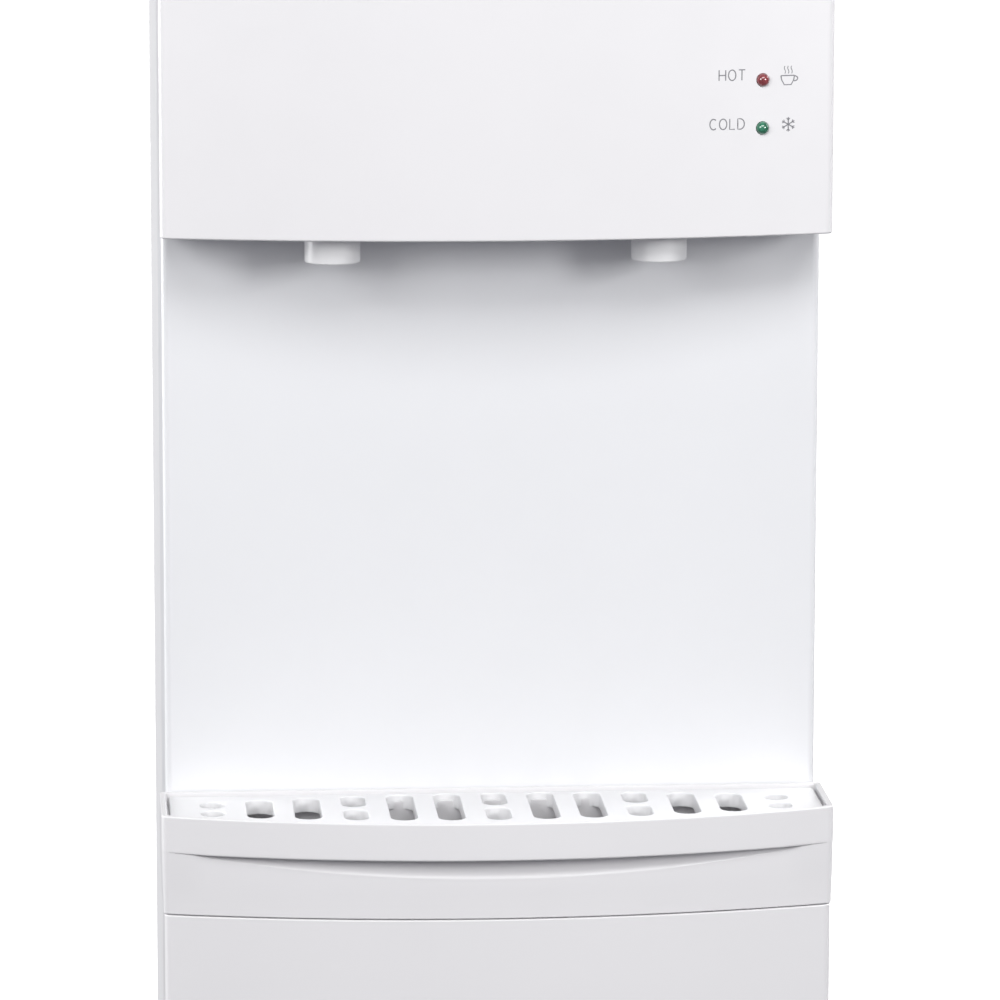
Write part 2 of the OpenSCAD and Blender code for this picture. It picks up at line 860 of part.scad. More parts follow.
module cold_tank() {
    mouth_r = cup_r + sleeve_t + 1.2;
    color("silver") place() translate([0, seat_y, 0]) difference() {
        union() {
            translate([0, 0, cold_z]) cylinder(r = cold_r, h = cold_top - cold_z);
            translate([0, 0, cold_z - port_h]) cylinder(r = port_r, h = port_h + cut);
            rod_y(cold_x / 2, -cold_r - 10, -cold_r / 2, cold_z + 12, port_r);
        }
        translate([0, 0, cold_z + tank_t]) {
            cylinder(r = cold_r - tank_t, h = cold_top - cold_z - 2 * tank_t);
        }
        translate([0, 0, cold_top - 2 * tank_t]) cylinder(r = mouth_r, h = 4 * tank_t);
        translate([0, 0, cold_z - port_h - cut]) cylinder(r = port_r - 1.5, h = port_h + 3 * cut);
        rod_y(cold_x / 2, -cold_r - 10 - cut, -cold_r / 2 + cut, cold_z + 12, port_r - 1.5);
    }
}

module tank_baffle() {
    z = cold_z + 45;
    color("white") place() translate([0, seat_y, 0]) difference() {
        union() {
            translate([0, 0, z]) cylinder(r = cold_r - tank_t - 3, h = 2);
            translate([0, 0, cold_z + tank_t + 2]) cylinder(r = 7, h = z - cold_z - tank_t);
        }
        translate([0, 0, cold_z]) cylinder(r = 5, h = 60);
        for (i = [0 : 7]) {
            rotate([0, 0, i * 45]) translate([50, 0, z - cut]) cylinder(r = 3, h = 2 + 2 * cut);
        }
    }
}

module cold_insulation() {
    floor_top = cold_z - jacket_gap;
    color("whitesmoke") place() translate([0, seat_y, 0]) difference() {
        translate([0, 0, cold_floor_z]) cylinder(r = cold_jacket_r, h = cold_top - cold_floor_z);
        translate([0, 0, floor_top]) cylinder(r = cold_r + jacket_gap, h = cold_top - floor_top + cut);
        translate([0, 0, cold_floor_z - cut]) {
            cylinder(r = port_r + 4, h = floor_top - cold_floor_z + 2 * cut);
        }
        // windows for the cold block and the cold outlet
        block([-block_w / 2 - 1, cold_r - 20, fan_z - block_w / 2 - 1],
            [block_w / 2 + 1, cold_jacket_r + cut, fan_z + block_w / 2 + 1]);
        rod_y(cold_x / 2, -cold_jacket_r, -cold_r / 2, cold_z + 12, port_r + 4);
        // flat back in front of the heatsink
        block([-cold_jacket_r, block_back - seat_y, cold_floor_z - cut],
            [cold_jacket_r, cold_jacket_r + cut, cold_top + cut]);
    }
}

// Steel shelf with side flanges, its top at height z, with a round opening of radius r
module shelf(z, r) {
    flange_h = 14;
    half = body_w / 2 - shell_t - 0.5;
    y0 = 24;
    y1 = seat_y + 62;
    difference() {
        union() {
            block([-half, y0, z - sheet_t], [half, y1, z]);
            for (s = [-1, 1]) {
                block([min(s * half, s * (half - sheet_t)), y0, z - flange_h],
                    [max(s * half, s * (half - sheet_t)), y1, z]);
            }
        }
        translate([0, seat_y, z - 2 * sheet_t]) cylinder(r = r, h = 3 * sheet_t);
    }
}

module cold_shelf() {
    color("silver") place() shelf(cold_floor_z, 20);
}

module cold_block() {
    color("silver") place() difference() {
        block([-block_w / 2, seat_y + cold_r - 12, fan_z - block_w / 2],
            [block_w / 2, block_back, fan_z + block_w / 2]);
        translate([0, seat_y, fan_z - block_w]) cylinder(r = cold_r + fit_gap, h = 2 * block_w);
    }
}

module peltier_module() {
    color("white") place() block([-20, block_back, fan_z - 20], [20, block_back + peltier_t, fan_z + 20]);
}

module heatsink() {
    fin_t = 1.5;
    fins = 15;
    y0 = block_back + peltier_t;
    color("silver") place() {
        block([-sink_w / 2, y0, fan_z - sink_h / 2], [sink_w / 2, y0 + sink_base, fan_z + sink_h / 2]);
        for (i = [0 : fins - 1]) {
            x = -sink_w / 2 + i * (sink_w - fin_t) / (fins - 1);
            block([x, y0 + sink_base - cut, fan_z - sink_h / 2],
                [x + fin_t, y0 + sink_base + fin_h, fan_z + sink_h / 2]);
        }
    }
}

module fan_frame() {
    hub_r = 15;
    hub_t = 3;
    spoke_w = 4;
    color("black") place() translate([0, fan_y, fan_z]) difference() {
        union() {
            difference() {
                block([-fan_w / 2, 0, -fan_w / 2], [fan_w / 2, fan_t, fan_w / 2]);
                rod_y(0, -cut, fan_t + cut, 0, fan_bore_r);
            }
            rod_y(0, fan_t - hub_t, fan_t, 0, hub_r);
            for (a = [45, 135]) {
                rotate([0, a, 0]) {
                    block([-fan_bore_r - 1, fan_t - hub_t, -spoke_w / 2],
                        [fan_bore_r + 1, fan_t, spoke_w / 2]);
                }
            }
        }
        for (x = [-1, 1], z = [-1, 1]) {
            rod_y(x * fan_pitch / 2, -cut, fan_t + cut, z * fan_pitch / 2, 2.1);
        }
        rod_y(0, 0, fan_t + cut, 0, pin_r + fit_gap);
    }
}

module fan_rotor() {
    hub_r = 14;
    hub_t = 13;
    tip_r = fan_bore_r - 1.5;
    blades = 7;
    pitch = 38;
    color("black") place() translate([0, fan_y + 2, fan_z]) {
        rod_y(0, 0, hub_t, 0, hub_r);
        rod_y(0, hub_t - cut, fan_t - 2.5, 0, pin_r);
        intersection() {
            rod_y(0, 0.5, hub_t - 0.5, 0, tip_r);
            for (i = [0 : blades - 1]) {
                rotate([0, i * 360 / blades, 0]) translate([hub_r - 2, hub_t / 2, 0]) {
                    rotate([pitch, 0, 0]) block([0, -12, -0.8], [tip_r, 12, 0.8]);
                }
            }
        }
    }
}

module fan_screws() {
    color("silver") place() for (x = [-1, 1], z = [-1, 1]) {
        translate([x * fan_pitch / 2, fan_y + fan_t, fan_z + z * fan_pitch / 2]) {
            rod_y(0, 0, 1, 0, 3.4);
            rod_y(0, -fan_t - 1, 0, 0, screw_r);
        }
    }
}

// ---- Hot side ----

module hot_tank() {
    color("silver") place() translate([0, seat_y, 0]) difference() {
        union() {
            translate([0, 0, hot_z]) cylinder(r = hot_r, h = hot_top - hot_z);
            translate([0, 0, hot_top - tank_t]) cylinder(r = port_r, h = port_h + tank_t);
            rod_y(hot_x / 3, -hot_port_reach, -hot_r / 2, hot_port_z, port_r);
            translate([0, 0, hot_z - port_h]) cylinder(r = port_r, h = port_h + cut);
        }
        translate([0, 0, hot_z + tank_t]) cylinder(r = hot_r - tank_t, h = hot_top - hot_z - 2 * tank_t);
        translate([0, 0, hot_top - 2 * tank_t]) cylinder(r = port_r - 1.5, h = port_h + 4 * tank_t);
        rod_y(hot_x / 3, -hot_port_reach - cut, -hot_r / 2 + cut, hot_port_z, port_r - 1.5);
        translate([0, 0, hot_z - port_h - cut]) cylinder(r = port_r - 1.5, h = port_h + 3 * tank_t);
    }
}

module heater_band() {
    color("goldenrod") place() translate([0, seat_y, hot_z + 20]) difference() {
        cylinder(r = hot_r + band_t, h = 40);
        translate([0, 0, -cut]) cylinder(r = hot_r, h = 40 + 2 * cut);
    }
}

module hot_insulation() {
    color("whitesmoke") place() translate([0, seat_y, hot_z + 2]) difference() {
        cylinder(r = hot_jacket_r, h = hot_top - hot_z - 6);
        translate([0, 0, -cut]) cylinder(r = hot_r + band_t + jacket_gap, h = hot_top - hot_z);
        rod_y(hot_x / 3, -hot_jacket_r - cut, -hot_r / 2, hot_port_z - hot_z - 2, port_r + 2);
    }
}

module thermostats() {
    color("black") place() for (p = [[28, -10], [28, 14], [-12, 28]]) {
        translate([p[0], seat_y + p[1], hot_top]) {
            cylinder(r = 8, h = 5);
            block([-6, -1, 5 - cut], [-3, 1, 12]);
            block([3, -1, 5 - cut], [6, 1, 12]);
        }
    }
}

module hot_shelf() {
    color("silver") place() shelf(hot_z, 25);
}

// ---- Water ways ----

module feed_hose() {
    bottom = hot_top + port_h;
    color("lightgrey") place() translate([0, seat_y, bottom]) {
        cylinder(r = hose_r, h = cold_z - port_h - bottom);
    }
}

module cold_hose() {
    start = [cold_x / 2, seat_y - cold_r - 10, cold_z + 12];
    end = [cold_x, tail_end, tail_z];
    color("lightgrey") place() {
        hose([[start, start + [0, -14, 0], end + [0, 20, 0], end]], hose_r, [0, 0, 1]);
    }
}

module hot_hose() {
    start = [hot_x / 3, seat_y - hot_port_reach, hot_port_z];
    riser = [-60, 13, cold_floor_z];
    end = [hot_x, tail_end, tail_z];
    color("lightgrey") place() hose([
        [start, start + [0, -34, 0], riser + [0, 0, -34], riser],
        [riser, riser + [0, 0, 28], end + [0, 36, 0], end]
    ], hose_r, [1, 0, 0]);
}

module drain_hose() {
    start = [0, seat_y, hot_z - port_h];
    end = [drain_x, rear_in - 20, drain_z];
    color("lightgrey") place() {
        hose([[start, start + [0, 0, -72], end + [0, -40, 0], end]], hose_r, [1, -0.4, 0]);
    }
}

module drain_pipe() {
    color("white") place() difference() {
        union() {
            rod_y(drain_x, rear_in - 20, body_d + spigot_l, drain_z, drain_r);
            rod_y(drain_x, rear_in - 3, rear_in, drain_z, drain_r + 4);
        }
        rod_y(drain_x, rear_in - 20 - cut, body_d + spigot_l + cut, drain_z, drain_r - 3);
    }
}

module drain_cap() {
    cap_r = 12;
    ribs = 12;
    color("grey") place() difference() {
        union() {
            rod_y(drain_x, body_d + 1, body_d + spigot_reach, drain_z, cap_r - 0.8);
            for (i = [0 : ribs - 1]) {
                translate([drain_x, 0, drain_z]) rotate([0, i * 360 / ribs, 0]) {
                    block([cap_r - 2, body_d + 1, -1], [cap_r, body_d + spigot_reach, 1]);
                }
            }
        }
        rod_y(drain_x, body_d, body_d + spigot_l + slide_gap, drain_z, drain_r + 0.35);
    }
}

// ---- Electrics ----

// Appliance inlet with a recessed socket and three contact blades
module power_inlet() {
    deep = 16;
    face = body_d + 2.5;
    color("black") place() translate([inlet_x, 0, inlet_z]) {
        difference() {
            union() {
                block([-16, body_d, -12.5], [16, face, 12.5]);
                block([-13.7, body_d - deep - 2, -9.7], [13.7, body_d + cut, 9.7]);
            }
            block([-12, face - deep, -8], [12, face + cut, 8]);
        }
        for (p = [[-7, 2], [0, -2], [7, 2]]) {
            block([p[0] - 1, face - deep - cut, p[1] - 2], [p[0] + 1, face - 5.5, p[1] + 2]);
        }
    }
}

module switch_housings() {
    color("black") place() for (x = [-switch_x, switch_x]) {
        difference() {
            union() {
                block([x - 8.5, body_d, control_z - 12.5], [x + 8.5, body_d + 1.8, control_z + 12.5]);
                block([x - 6.8, body_d - 16, control_z - 10.8], [x + 6.8, body_d + cut, control_z + 10.8]);
            }
            block([x - 5.1, body_d - 11, control_z - 9.1], [x + 5.1, body_d + 3, control_z + 9.1]);
            rod_x(x, rocker_y, control_z, rocker_pin_r + fit_gap, 13);
        }
    }
}

// Rocker with a shallow V face, tilted to its off position
module rocker(x) {
    color("black") translate([x, rocker_y, control_z]) rotate([-rocker_tilt, 0, 0]) {
        intersection() {
            rod_x(0, 0, 0, rocker_r, rocker_w);
            translate([-rocker_w / 2, 0, 0]) rotate([90, 0, 90]) linear_extrude(rocker_w) polygon([
                [-4, -rocker_r],
                [3.8, -rocker_r],
                [2.4, 0],
                [3.8, rocker_r],
                [-4, rocker_r]
            ]);
        }
        rod_x(0, 0, 0, rocker_pin_r, 12.6);
    }
}

module hot_rocker() {
    place() rocker(-switch_x);
}

module cold_rocker() {
    place() rocker(switch_x);
}

module control_board() {
    top = board_high[2];
    relays = [[5, 62], [30, 62]];
    capacitors = [[5, 108], [20, 108], [35, 108]];
    terminals = [[60, 58], [60, 112], [-8, 84]];
    color("darkgreen") place() {
        block(board_low, board_high);
        for (p = relays) {
            block([p[0], p[1], top - 0.5], [p[0] + 19, p[1] + 15, top + 16]);
        }
        for (p = capacitors) {
            translate([p[0], p[1], top - 0.5]) cylinder(r = 5, h = 16);
        }
        for (p = terminals) {
            block([p[0], p[1], top - 0.5], [p[0] + 12, p[1] + 10, top + 9]);
        }
    }
}

module power_supply() {
    vent_w = 3;
    color("silver") place() difference() {
        block(supply_low, supply_high);
        for (i = [0 : 6]) {
            y = supply_low[1] + 15 + i * 11;
            block([supply_low[0] + 12, y, supply_high[2] - 2],
                [supply_high[0] - 12, y + vent_w, supply_high[2] + cut]);
        }
    }
}

// One lead on a chain of cubic curves
module lead(curves, side) {
    hose(curves, 1.5, side, 10, 8);
}

module wiring() {
    top = board_high[2] + 9;
    inlet = [inlet_x, body_d - 18, inlet_z];
    supply_rear = [inlet_x - 10, supply_high[1], base_top + 30];
    supply_side = [supply_high[0], 90, base_top + 25];
    board_side = [-8, 89, top - 5];
    switch_y = body_d - 16;
    thermostat = [33, seat_y - 10, hot_top + 12];
    riser_y = 15;
    shelf_z = hot_z + 5;
    cooler = [20, block_back + peltier_t / 2, fan_z];
    display = [indicator_x - 9, -24, hood_z + indicator_z + indicator_pitch / 2];
    wall_hole = [indicator_x - 20, 0, hood_z + indicator_z + 10];
    color("dimgrey") place() {
        lead([[inlet, inlet + [0, -25, 0], supply_rear + [0, 25, 0], supply_rear]], [0, 0, 1]);
        lead([[supply_side, supply_side + [8, 0, 0], board_side + [-8, 0, 0], board_side]], [0, 0, 1]);
        for (x = [-switch_x, switch_x]) {
            from = [x, switch_y, control_z];
            to = [-60 + x / 5, 140, supply_high[2]];
            lead([[from, from + [0, -30, 0], to + [0, 0, 50], to]], [1, 0, 0]);
        }
        // board to thermostats, in front of the shelf
        from = [64, 63, top];
        riser = [72, riser_y, shelf_z];
        lead([
            [from, from + [0, 0, 50], riser + [0, 0, -70], riser],
            [riser, riser + [0, 0, 60], thermostat + [0, 0, 26], thermostat]
        ], [1, 0, 0]);
        // board to the cooler, behind the shelves
        back = [66, 117, top];
        rise = [100, 190, shelf_z];
        lead([
            [back, back + [0, 0, 30], rise + [0, 0, -90], rise],
            [rise, rise + [0, 0, 120], cooler + [60, 0, 0], cooler]
        ], [0, 1, 0]);
        // indicator board to the control board, through the wall
        down = [wall_hole[0] + 10, riser_y, shelf_z];
        to = [69, 60, top];
        lead([
            [display, display + [0, 8, 0], wall_hole + [0, -12, 0], wall_hole],
            [wall_hole, wall_hole + [0, 14, 0], down + [0, 0, 120], down],
            [down, down + [0, 0, -90], to + [0, 0, 50], to]
        ], [1, 0, 0]);
    }
}

chassis_base();
rubber_feet();
side_panel_left();
side_panel_right();
rear_panel();
top_cover();
front_frame();
hood();
case_screws();
lower_front_panel();
drip_tray();
drip_grate();
hot_lens();
cold_lens();
indicator_board();
hot_key();
cold_key();
hot_lever();
cold_lever();
tap_pins();
hot_stem();
cold_stem();
hot_spring();
cold_spring();
hot_tap_body();
cold_tap_body();
tap_caps();
tap_gaskets();
tap_nuts();
bottle_collar();
collar_seal();
feed_probe();
cold_tank();
tank_baffle();
cold_insulation();
cold_shelf();
cold_block();
peltier_module();
heatsink();
fan_frame();
fan_rotor();
fan_screws();
hot_tank();
heater_band();
hot_insulation();
thermostats();
hot_shelf();
feed_hose();
cold_hose();
hot_hose();
drain_hose();
drain_pipe();
drain_cap();
power_inlet();
switch_housings();
hot_rocker();
cold_rocker();
control_board();
power_supply();
wiring();
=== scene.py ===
import json
import math

import bmesh
import bpy
from mathutils import Matrix, Vector


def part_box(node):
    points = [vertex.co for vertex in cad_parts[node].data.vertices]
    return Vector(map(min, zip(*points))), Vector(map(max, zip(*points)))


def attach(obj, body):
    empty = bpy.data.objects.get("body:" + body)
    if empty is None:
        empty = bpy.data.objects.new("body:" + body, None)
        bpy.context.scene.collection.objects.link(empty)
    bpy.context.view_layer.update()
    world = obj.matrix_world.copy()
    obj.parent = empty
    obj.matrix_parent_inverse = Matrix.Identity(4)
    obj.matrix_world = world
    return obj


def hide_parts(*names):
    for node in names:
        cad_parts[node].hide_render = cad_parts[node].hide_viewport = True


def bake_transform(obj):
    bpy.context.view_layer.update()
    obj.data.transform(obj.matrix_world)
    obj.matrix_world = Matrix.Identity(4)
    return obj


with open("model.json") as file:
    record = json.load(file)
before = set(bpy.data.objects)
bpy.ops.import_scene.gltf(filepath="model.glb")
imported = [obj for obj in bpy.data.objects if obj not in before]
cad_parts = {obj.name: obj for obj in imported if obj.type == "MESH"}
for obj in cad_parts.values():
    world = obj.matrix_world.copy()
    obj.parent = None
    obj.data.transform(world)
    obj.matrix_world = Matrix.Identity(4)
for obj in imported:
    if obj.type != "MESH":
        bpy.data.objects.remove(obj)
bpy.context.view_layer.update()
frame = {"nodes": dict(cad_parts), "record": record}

NODES = frame["nodes"]
SCENE = bpy.context.scene
MM = 0.001

# Shapes are drawn in millimetres, with y measured from the recess wall, as in part.scad.
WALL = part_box("front_frame")[0].y
TO_FRAME = Matrix.Translation((0, WALL, 0)) @ Matrix.Scale(MM, 4)


def box(node):
    """A node's lowest and highest corners in millimetres."""
    return [Vector((c.x / MM, (c.y - WALL) / MM, c.z / MM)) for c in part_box(node)]


def middle(node):
    low, high = box(node)
    return (low + high) / 2


# ---------------------------------------------------------------- materials


class Shader:
    """A Principled material and the node calls that the recipes below share."""

    def __init__(self, name, color, rough, metallic=0.0, specular=0.5, coat=0.0, coat_rough=0.1):
        self.mat = bpy.data.materials.new(name)
        self.mat.use_nodes = True
        self.tree = self.mat.node_tree
        self.bsdf = self.tree.nodes["Principled BSDF"]
        self.color = color
        self.rough = rough
        self.normal = None
        for socket, value in (
            ("Base Color", (*color, 1.0)),
            ("Roughness", rough),
            ("Metallic", metallic),
            ("Specular IOR Level", specular),
            ("Coat Weight", coat),
            ("Coat Roughness", coat_rough),
        ):
            self.bsdf.inputs[socket].default_value = value
        self.place = self.new("ShaderNodeTexCoord").outputs["Object"]

    def new(self, kind, **inputs):
        node = self.tree.nodes.new(kind)
        for key, value in inputs.items():
            node.inputs[key.replace("_", " ")].default_value = value
        return node

    def link(self, source, target):
        self.tree.links.new(source, target)

    def noise(self, scale, detail=3.0, stretch=None):
        node = self.new("ShaderNodeTexNoise", Scale=scale, Detail=detail)
        source = self.place
        if stretch:
            mapping = self.new("ShaderNodeMapping", Scale=stretch)
            self.link(source, mapping.inputs["Vector"])
            source = mapping.outputs["Vector"]
        self.link(source, node.inputs["Vector"])
        return node.outputs["Fac"]

    def cells(self, scale):
        node = self.new("ShaderNodeTexVoronoi", Scale=scale)
        self.link(self.place, node.inputs["Vector"])
        return node.outputs["Distance"]

    def tint(self, source, low, high, from_low=0.3, from_high=0.7):
        """Base colour between two shades, each a factor of the material's colour or a colour."""
        ramp = self.new("ShaderNodeValToRGB")
        for end, at, value in zip(ramp.color_ramp.elements, (from_low, from_high), (low, high)):
            shade = value if isinstance(value, tuple) else tuple(c * value for c in self.color)
            end.position = at
            end.color = (*shade, 1.0)
        self.link(source, ramp.inputs["Fac"])
        self.link(ramp.outputs["Color"], self.bsdf.inputs["Base Color"])

    def rough_by(self, source, spread):
        node = self.new("ShaderNodeMapRange")
        ends = (0.3, 0.7, max(0.02, self.rough - spread), min(1.0, self.rough + spread))
        for name, value in zip(("From Min", "From Max", "To Min", "To Max"), ends):
            node.inputs[name].default_value = value
        self.link(source, node.inputs["Value"])
        self.link(node.outputs["Result"], self.bsdf.inputs["Roughness"])

    def bump(self, source, depth, strength=1.0):
        node = self.new("ShaderNodeBump", Strength=strength, Distance=depth * MM)
        self.link(source, node.inputs["Height"])
        if self.normal is not None:
            self.link(self.normal, node.inputs["Normal"])
        self.normal = node.outputs["Normal"]
        self.link(self.normal, self.bsdf.inputs["Normal"])


def moulded(name, color, rough, grain=1500.0, depth=0.01, coat=0.0, drift=0.01):
    """Moulded plastic: slow drift of tone, fine eroded grain and the faint waves of a mould."""
    s = Shader(name, color, rough, coat=coat, coat_rough=0.22)
    s.tint(s.noise(9.0, 4.0), 1.0 - drift, 1.0 + drift)
    s.rough_by(s.noise(60.0, 6.0), 0.05)
    s.bump(s.noise(grain, 2.0), depth)
    s.bump(s.noise(14.0, 1.0), 0.05, 0.25)
    return s.mat


def powder(name, color):
    """Powder-coated sheet steel: orange peel over a fine speckle."""
    s = Shader(name, color, 0.42, coat=0.15, coat_rough=0.3)
    s.tint(s.noise(12.0, 5.0), 0.985, 1.01)
    s.rough_by(s.noise(420.0, 3.0), 0.07)
    s.bump(s.noise(520.0, 1.5), 0.03)
    s.bump(s.cells(1900.0), 0.006, 0.6)
    return s.mat


def rubber(name, color, rough=0.75):
    s = Shader(name, color, rough, specular=0.35)
    s.tint(s.noise(90.0, 6.0), 0.85, 1.25)
    s.rough_by(s.noise(300.0, 4.0), 0.1)
    s.bump(s.cells(1300.0), 0.03, 0.7)
    return s.mat


def metal(name, color, rough, stretch=(1.0, 1.0, 0.02), spangle=0.0):
    """Worked metal: brushing or rolling lines along one axis, or the spangle of galvanised sheet."""
    s = Shader(name, color, rough, metallic=1.0)
    lines = s.noise(2600.0, 2.0, stretch)
    s.rough_by(lines, 0.09)
    if spangle:
        s.tint(s.cells(spangle), 0.82, 1.12, 0.1, 0.75)
    else:
        s.tint(s.noise(45.0, 5.0), 0.92, 1.05)
    s.bump(lines, 0.006, 0.6)
    return s.mat


def lens(name, color, deep):
    """Tinted lens under a clear skin, its tint mottled by noise between a deep and a lighter shade."""
    s = Shader(name, color, 0.06, specular=0.6, coat=1.0, coat_rough=0.02)
    s.tint(s.noise(500.0, 2.0), deep, color, 0.35, 0.65)
    s.rough_by(s.noise(700.0, 2.0), 0.03)
    return s.mat


def foam(name, color):
    s = Shader(name, color, 0.9, specular=0.2)
    # painted shade: each cell is darker towards its centre, which the bump below sinks into a pit, so the
    # pores carry painted shade
    s.tint(s.cells(260.0), 0.86, 1.03, 0.0, 0.7)
    s.bump(s.cells(260.0), 0.25, 0.8)
    s.bump(s.noise(1800.0, 3.0), 0.03, 0.6)
    return s.mat


def circuit(name, color):
    """Solder mask with copper runs that show through it."""
    s = Shader(name, color, 0.35, coat=0.4, coat_rough=0.2)
    runs = s.new("ShaderNodeTexBrick", Scale=220.0, Mortar_Size=0.05, Mortar_Smooth=0.2)
    s.link(s.place, runs.inputs["Vector"])
    s.tint(runs.outputs["Fac"], 1.0, (0.16, 0.34, 0.12), 0.0, 1.0)
    s.rough_by(s.noise(700.0, 3.0), 0.08)
    s.bump(runs.outputs["Fac"], 0.03, 0.6)
    return s.mat


def silicone(name, color):
    s = Shader(name, color, 0.38, specular=0.45)
    s.bsdf.inputs["Subsurface Weight"].default_value = 0.3
    s.bsdf.inputs["Subsurface Radius"].default_value = (0.002, 0.002, 0.002)
    s.tint(s.noise(160.0, 4.0), 0.94, 1.04)
    s.rough_by(s.noise(240.0, 4.0), 0.08)
    s.bump(s.noise(700.0, 3.0), 0.02, 0.6)
    return s.mat


SHELL_WHITE = (0.738, 0.730, 0.745)
SLOTS = {
    "white_shell": moulded("white_shell", SHELL_WHITE, 0.34, coat=0.25),
    "recess_shell": moulded("recess_shell", (0.76, 0.765, 0.785), 0.33, coat=0.2),
    "white_steel": powder("white_steel", (0.72, 0.72, 0.73)),
    "tray_plastic": moulded("tray_plastic", SHELL_WHITE, 0.36, coat=0.2),
    "grate_plastic": moulded("grate_plastic", (0.77, 0.77, 0.785), 0.34, coat=0.2),
    "key_plastic": moulded("key_plastic", (0.72, 0.72, 0.735), 0.30, coat=0.3),
    "nozzle_plastic": moulded("nozzle_plastic", (0.75, 0.75, 0.76), 0.33),
    "collar_plastic": moulded("collar_plastic", (0.62, 0.65, 0.68), 0.32, coat=0.2),
    "base_plastic": moulded("base_plastic", (0.52, 0.52, 0.53), 0.5, 900.0, 0.03),
    "rubber": rubber("rubber", (0.045, 0.045, 0.047)),
    "seal_rubber": rubber("seal_rubber", (0.30, 0.31, 0.32), 0.6),
    "red_lens": lens("red_lens", (0.28, 0.055, 0.065), (0.15, 0.025, 0.03)),
    "green_lens": lens("green_lens", (0.04, 0.21, 0.125), (0.015, 0.11, 0.06)),
    "circuit": circuit("circuit", (0.02, 0.13, 0.055)),
    "zinc": metal("zinc", (0.62, 0.62, 0.64), 0.32),
    "stainless": metal("stainless", (0.60, 0.60, 0.61), 0.24),
    "galvanised": metal("galvanised", (0.50, 0.52, 0.54), 0.38, spangle=110.0),
    "alloy": metal("alloy", (0.66, 0.67, 0.69), 0.34, (1.0, 1.0, 0.01)),
    "foam": foam("foam", (0.78, 0.78, 0.75)),
    "hose": silicone("hose", (0.70, 0.72, 0.72)),
    "ceramic_plate": foam("ceramic_plate", (0.76, 0.75, 0.71)),
    "black_plastic": moulded("black_plastic", (0.022, 0.022, 0.024), 0.45, 900.0, 0.03, drift=0.15),
    "heater": metal("heater", (0.55, 0.40, 0.17), 0.36),
    "lead": rubber("lead", (0.03, 0.03, 0.035), 0.5),
    "cap_plastic": moulded("cap_plastic", (0.52, 0.54, 0.56), 0.4, 1100.0, 0.02),
}
PRINT = moulded("grey_print", (0.20, 0.20, 0.215), 0.55, 2600.0, 0.004, drift=0.1)

for part in frame["record"]["subparts"]:
    node = NODES[part["node"]]
    node.data.materials.clear()
    node.data.materials.append(SLOTS[part["material_slot"]])


# ---------------------------------------------------------------- mesh helpers


def skin(bm, rings, ring_closed=True, stack_closed=False, caps=True):
    """Quads between rings of equally many points, with flat caps on what stays open."""
    made = [[bm.verts.new(point) for point in ring] for ring in rings]
    count = len(rings[0])
    stack = made + made[:1] if stack_closed else made
    for low, high in zip(stack, stack[1:]):
        for i in range(count if ring_closed else count - 1):
            j = (i + 1) % count
            bm.faces.new((low[i], low[j], high[j], high[i]))
    if caps and not stack_closed:
        bm.faces.new(made[0])
        bm.faces.new(made[-1])
    if caps and not ring_closed:
        bm.faces.new([ring[0] for ring in made])
        bm.faces.new([ring[-1] for ring in made])


def level(outline, z):
    return [(x, y, z) for x, y in outline]


def mirrored(points):
    """The same points on the other side, in reverse order."""
    return [(-x, y) for x, y in points[::-1]]


def quarter(steps=4):
    return [math.pi / 2 * i / steps for i in range(steps + 1)]


def edge_out(z, r):
    """(inset, z) from a bottom face round onto the side."""
    return [(r * (1 - math.sin(a)), z + r * (1 - math.cos(a))) for a in quarter()]


def edge_in(z, r):
    """(inset, z) from the side round onto a top face."""
    return [(r * (1 - math.cos(a)), z - r * (1 - math.sin(a))) for a in quarter()]


def rear_corner(half, y, r, steps=4):
    """Rounded corner from the right side's end onto a rear edge at y."""
    return [(half - r * (1 - math.cos(a)), y - r * (1 - math.sin(a))) for a in quarter(steps)]


def arc(cx, cz, rx, rz, start, end, steps=14):
    angles = [math.radians(start + (end - start) * i / steps) for i in range(steps + 1)]
    return [(cx + rx * math.cos(a), cz + rz * math.sin(a)) for a in angles]


def block(bm, low, high):
    """Box between two corners, for cutting and for what stays hidden."""
    for v in bmesh.ops.create_cube(bm, size=1.0)["verts"]:
        v.co = Vector([(a + b) / 2 + c * (b - a) for a, b, c in zip(low, high, v.co)])


def turned(bm, profile, origin, axis="Z", steps=96, closed=False):
    """Turns a profile of (radius, height) about an axis through origin."""
    turn = Matrix.Translation(origin)
    if axis == "Y":
        turn = turn @ Matrix.Rotation(-math.pi / 2, 4, "X")
    angles = [2 * math.pi * i / steps for i in range(steps)]
    rings = [[turn @ Vector((r * math.cos(a), r * math.sin(a), h)) for a in angles] for r, h in profile]
    skin(bm, rings, True, closed)


def tube(bm, x, y0, y1, z, outer, inner=0.0, steps=64):
    """Rod or tube that runs along Y."""
    profile = [(outer, y0), (outer, y1)] + ([(inner, y1), (inner, y0)] if inner else [])
    turned(bm, profile, (x, 0, z), "Y", steps, bool(inner))


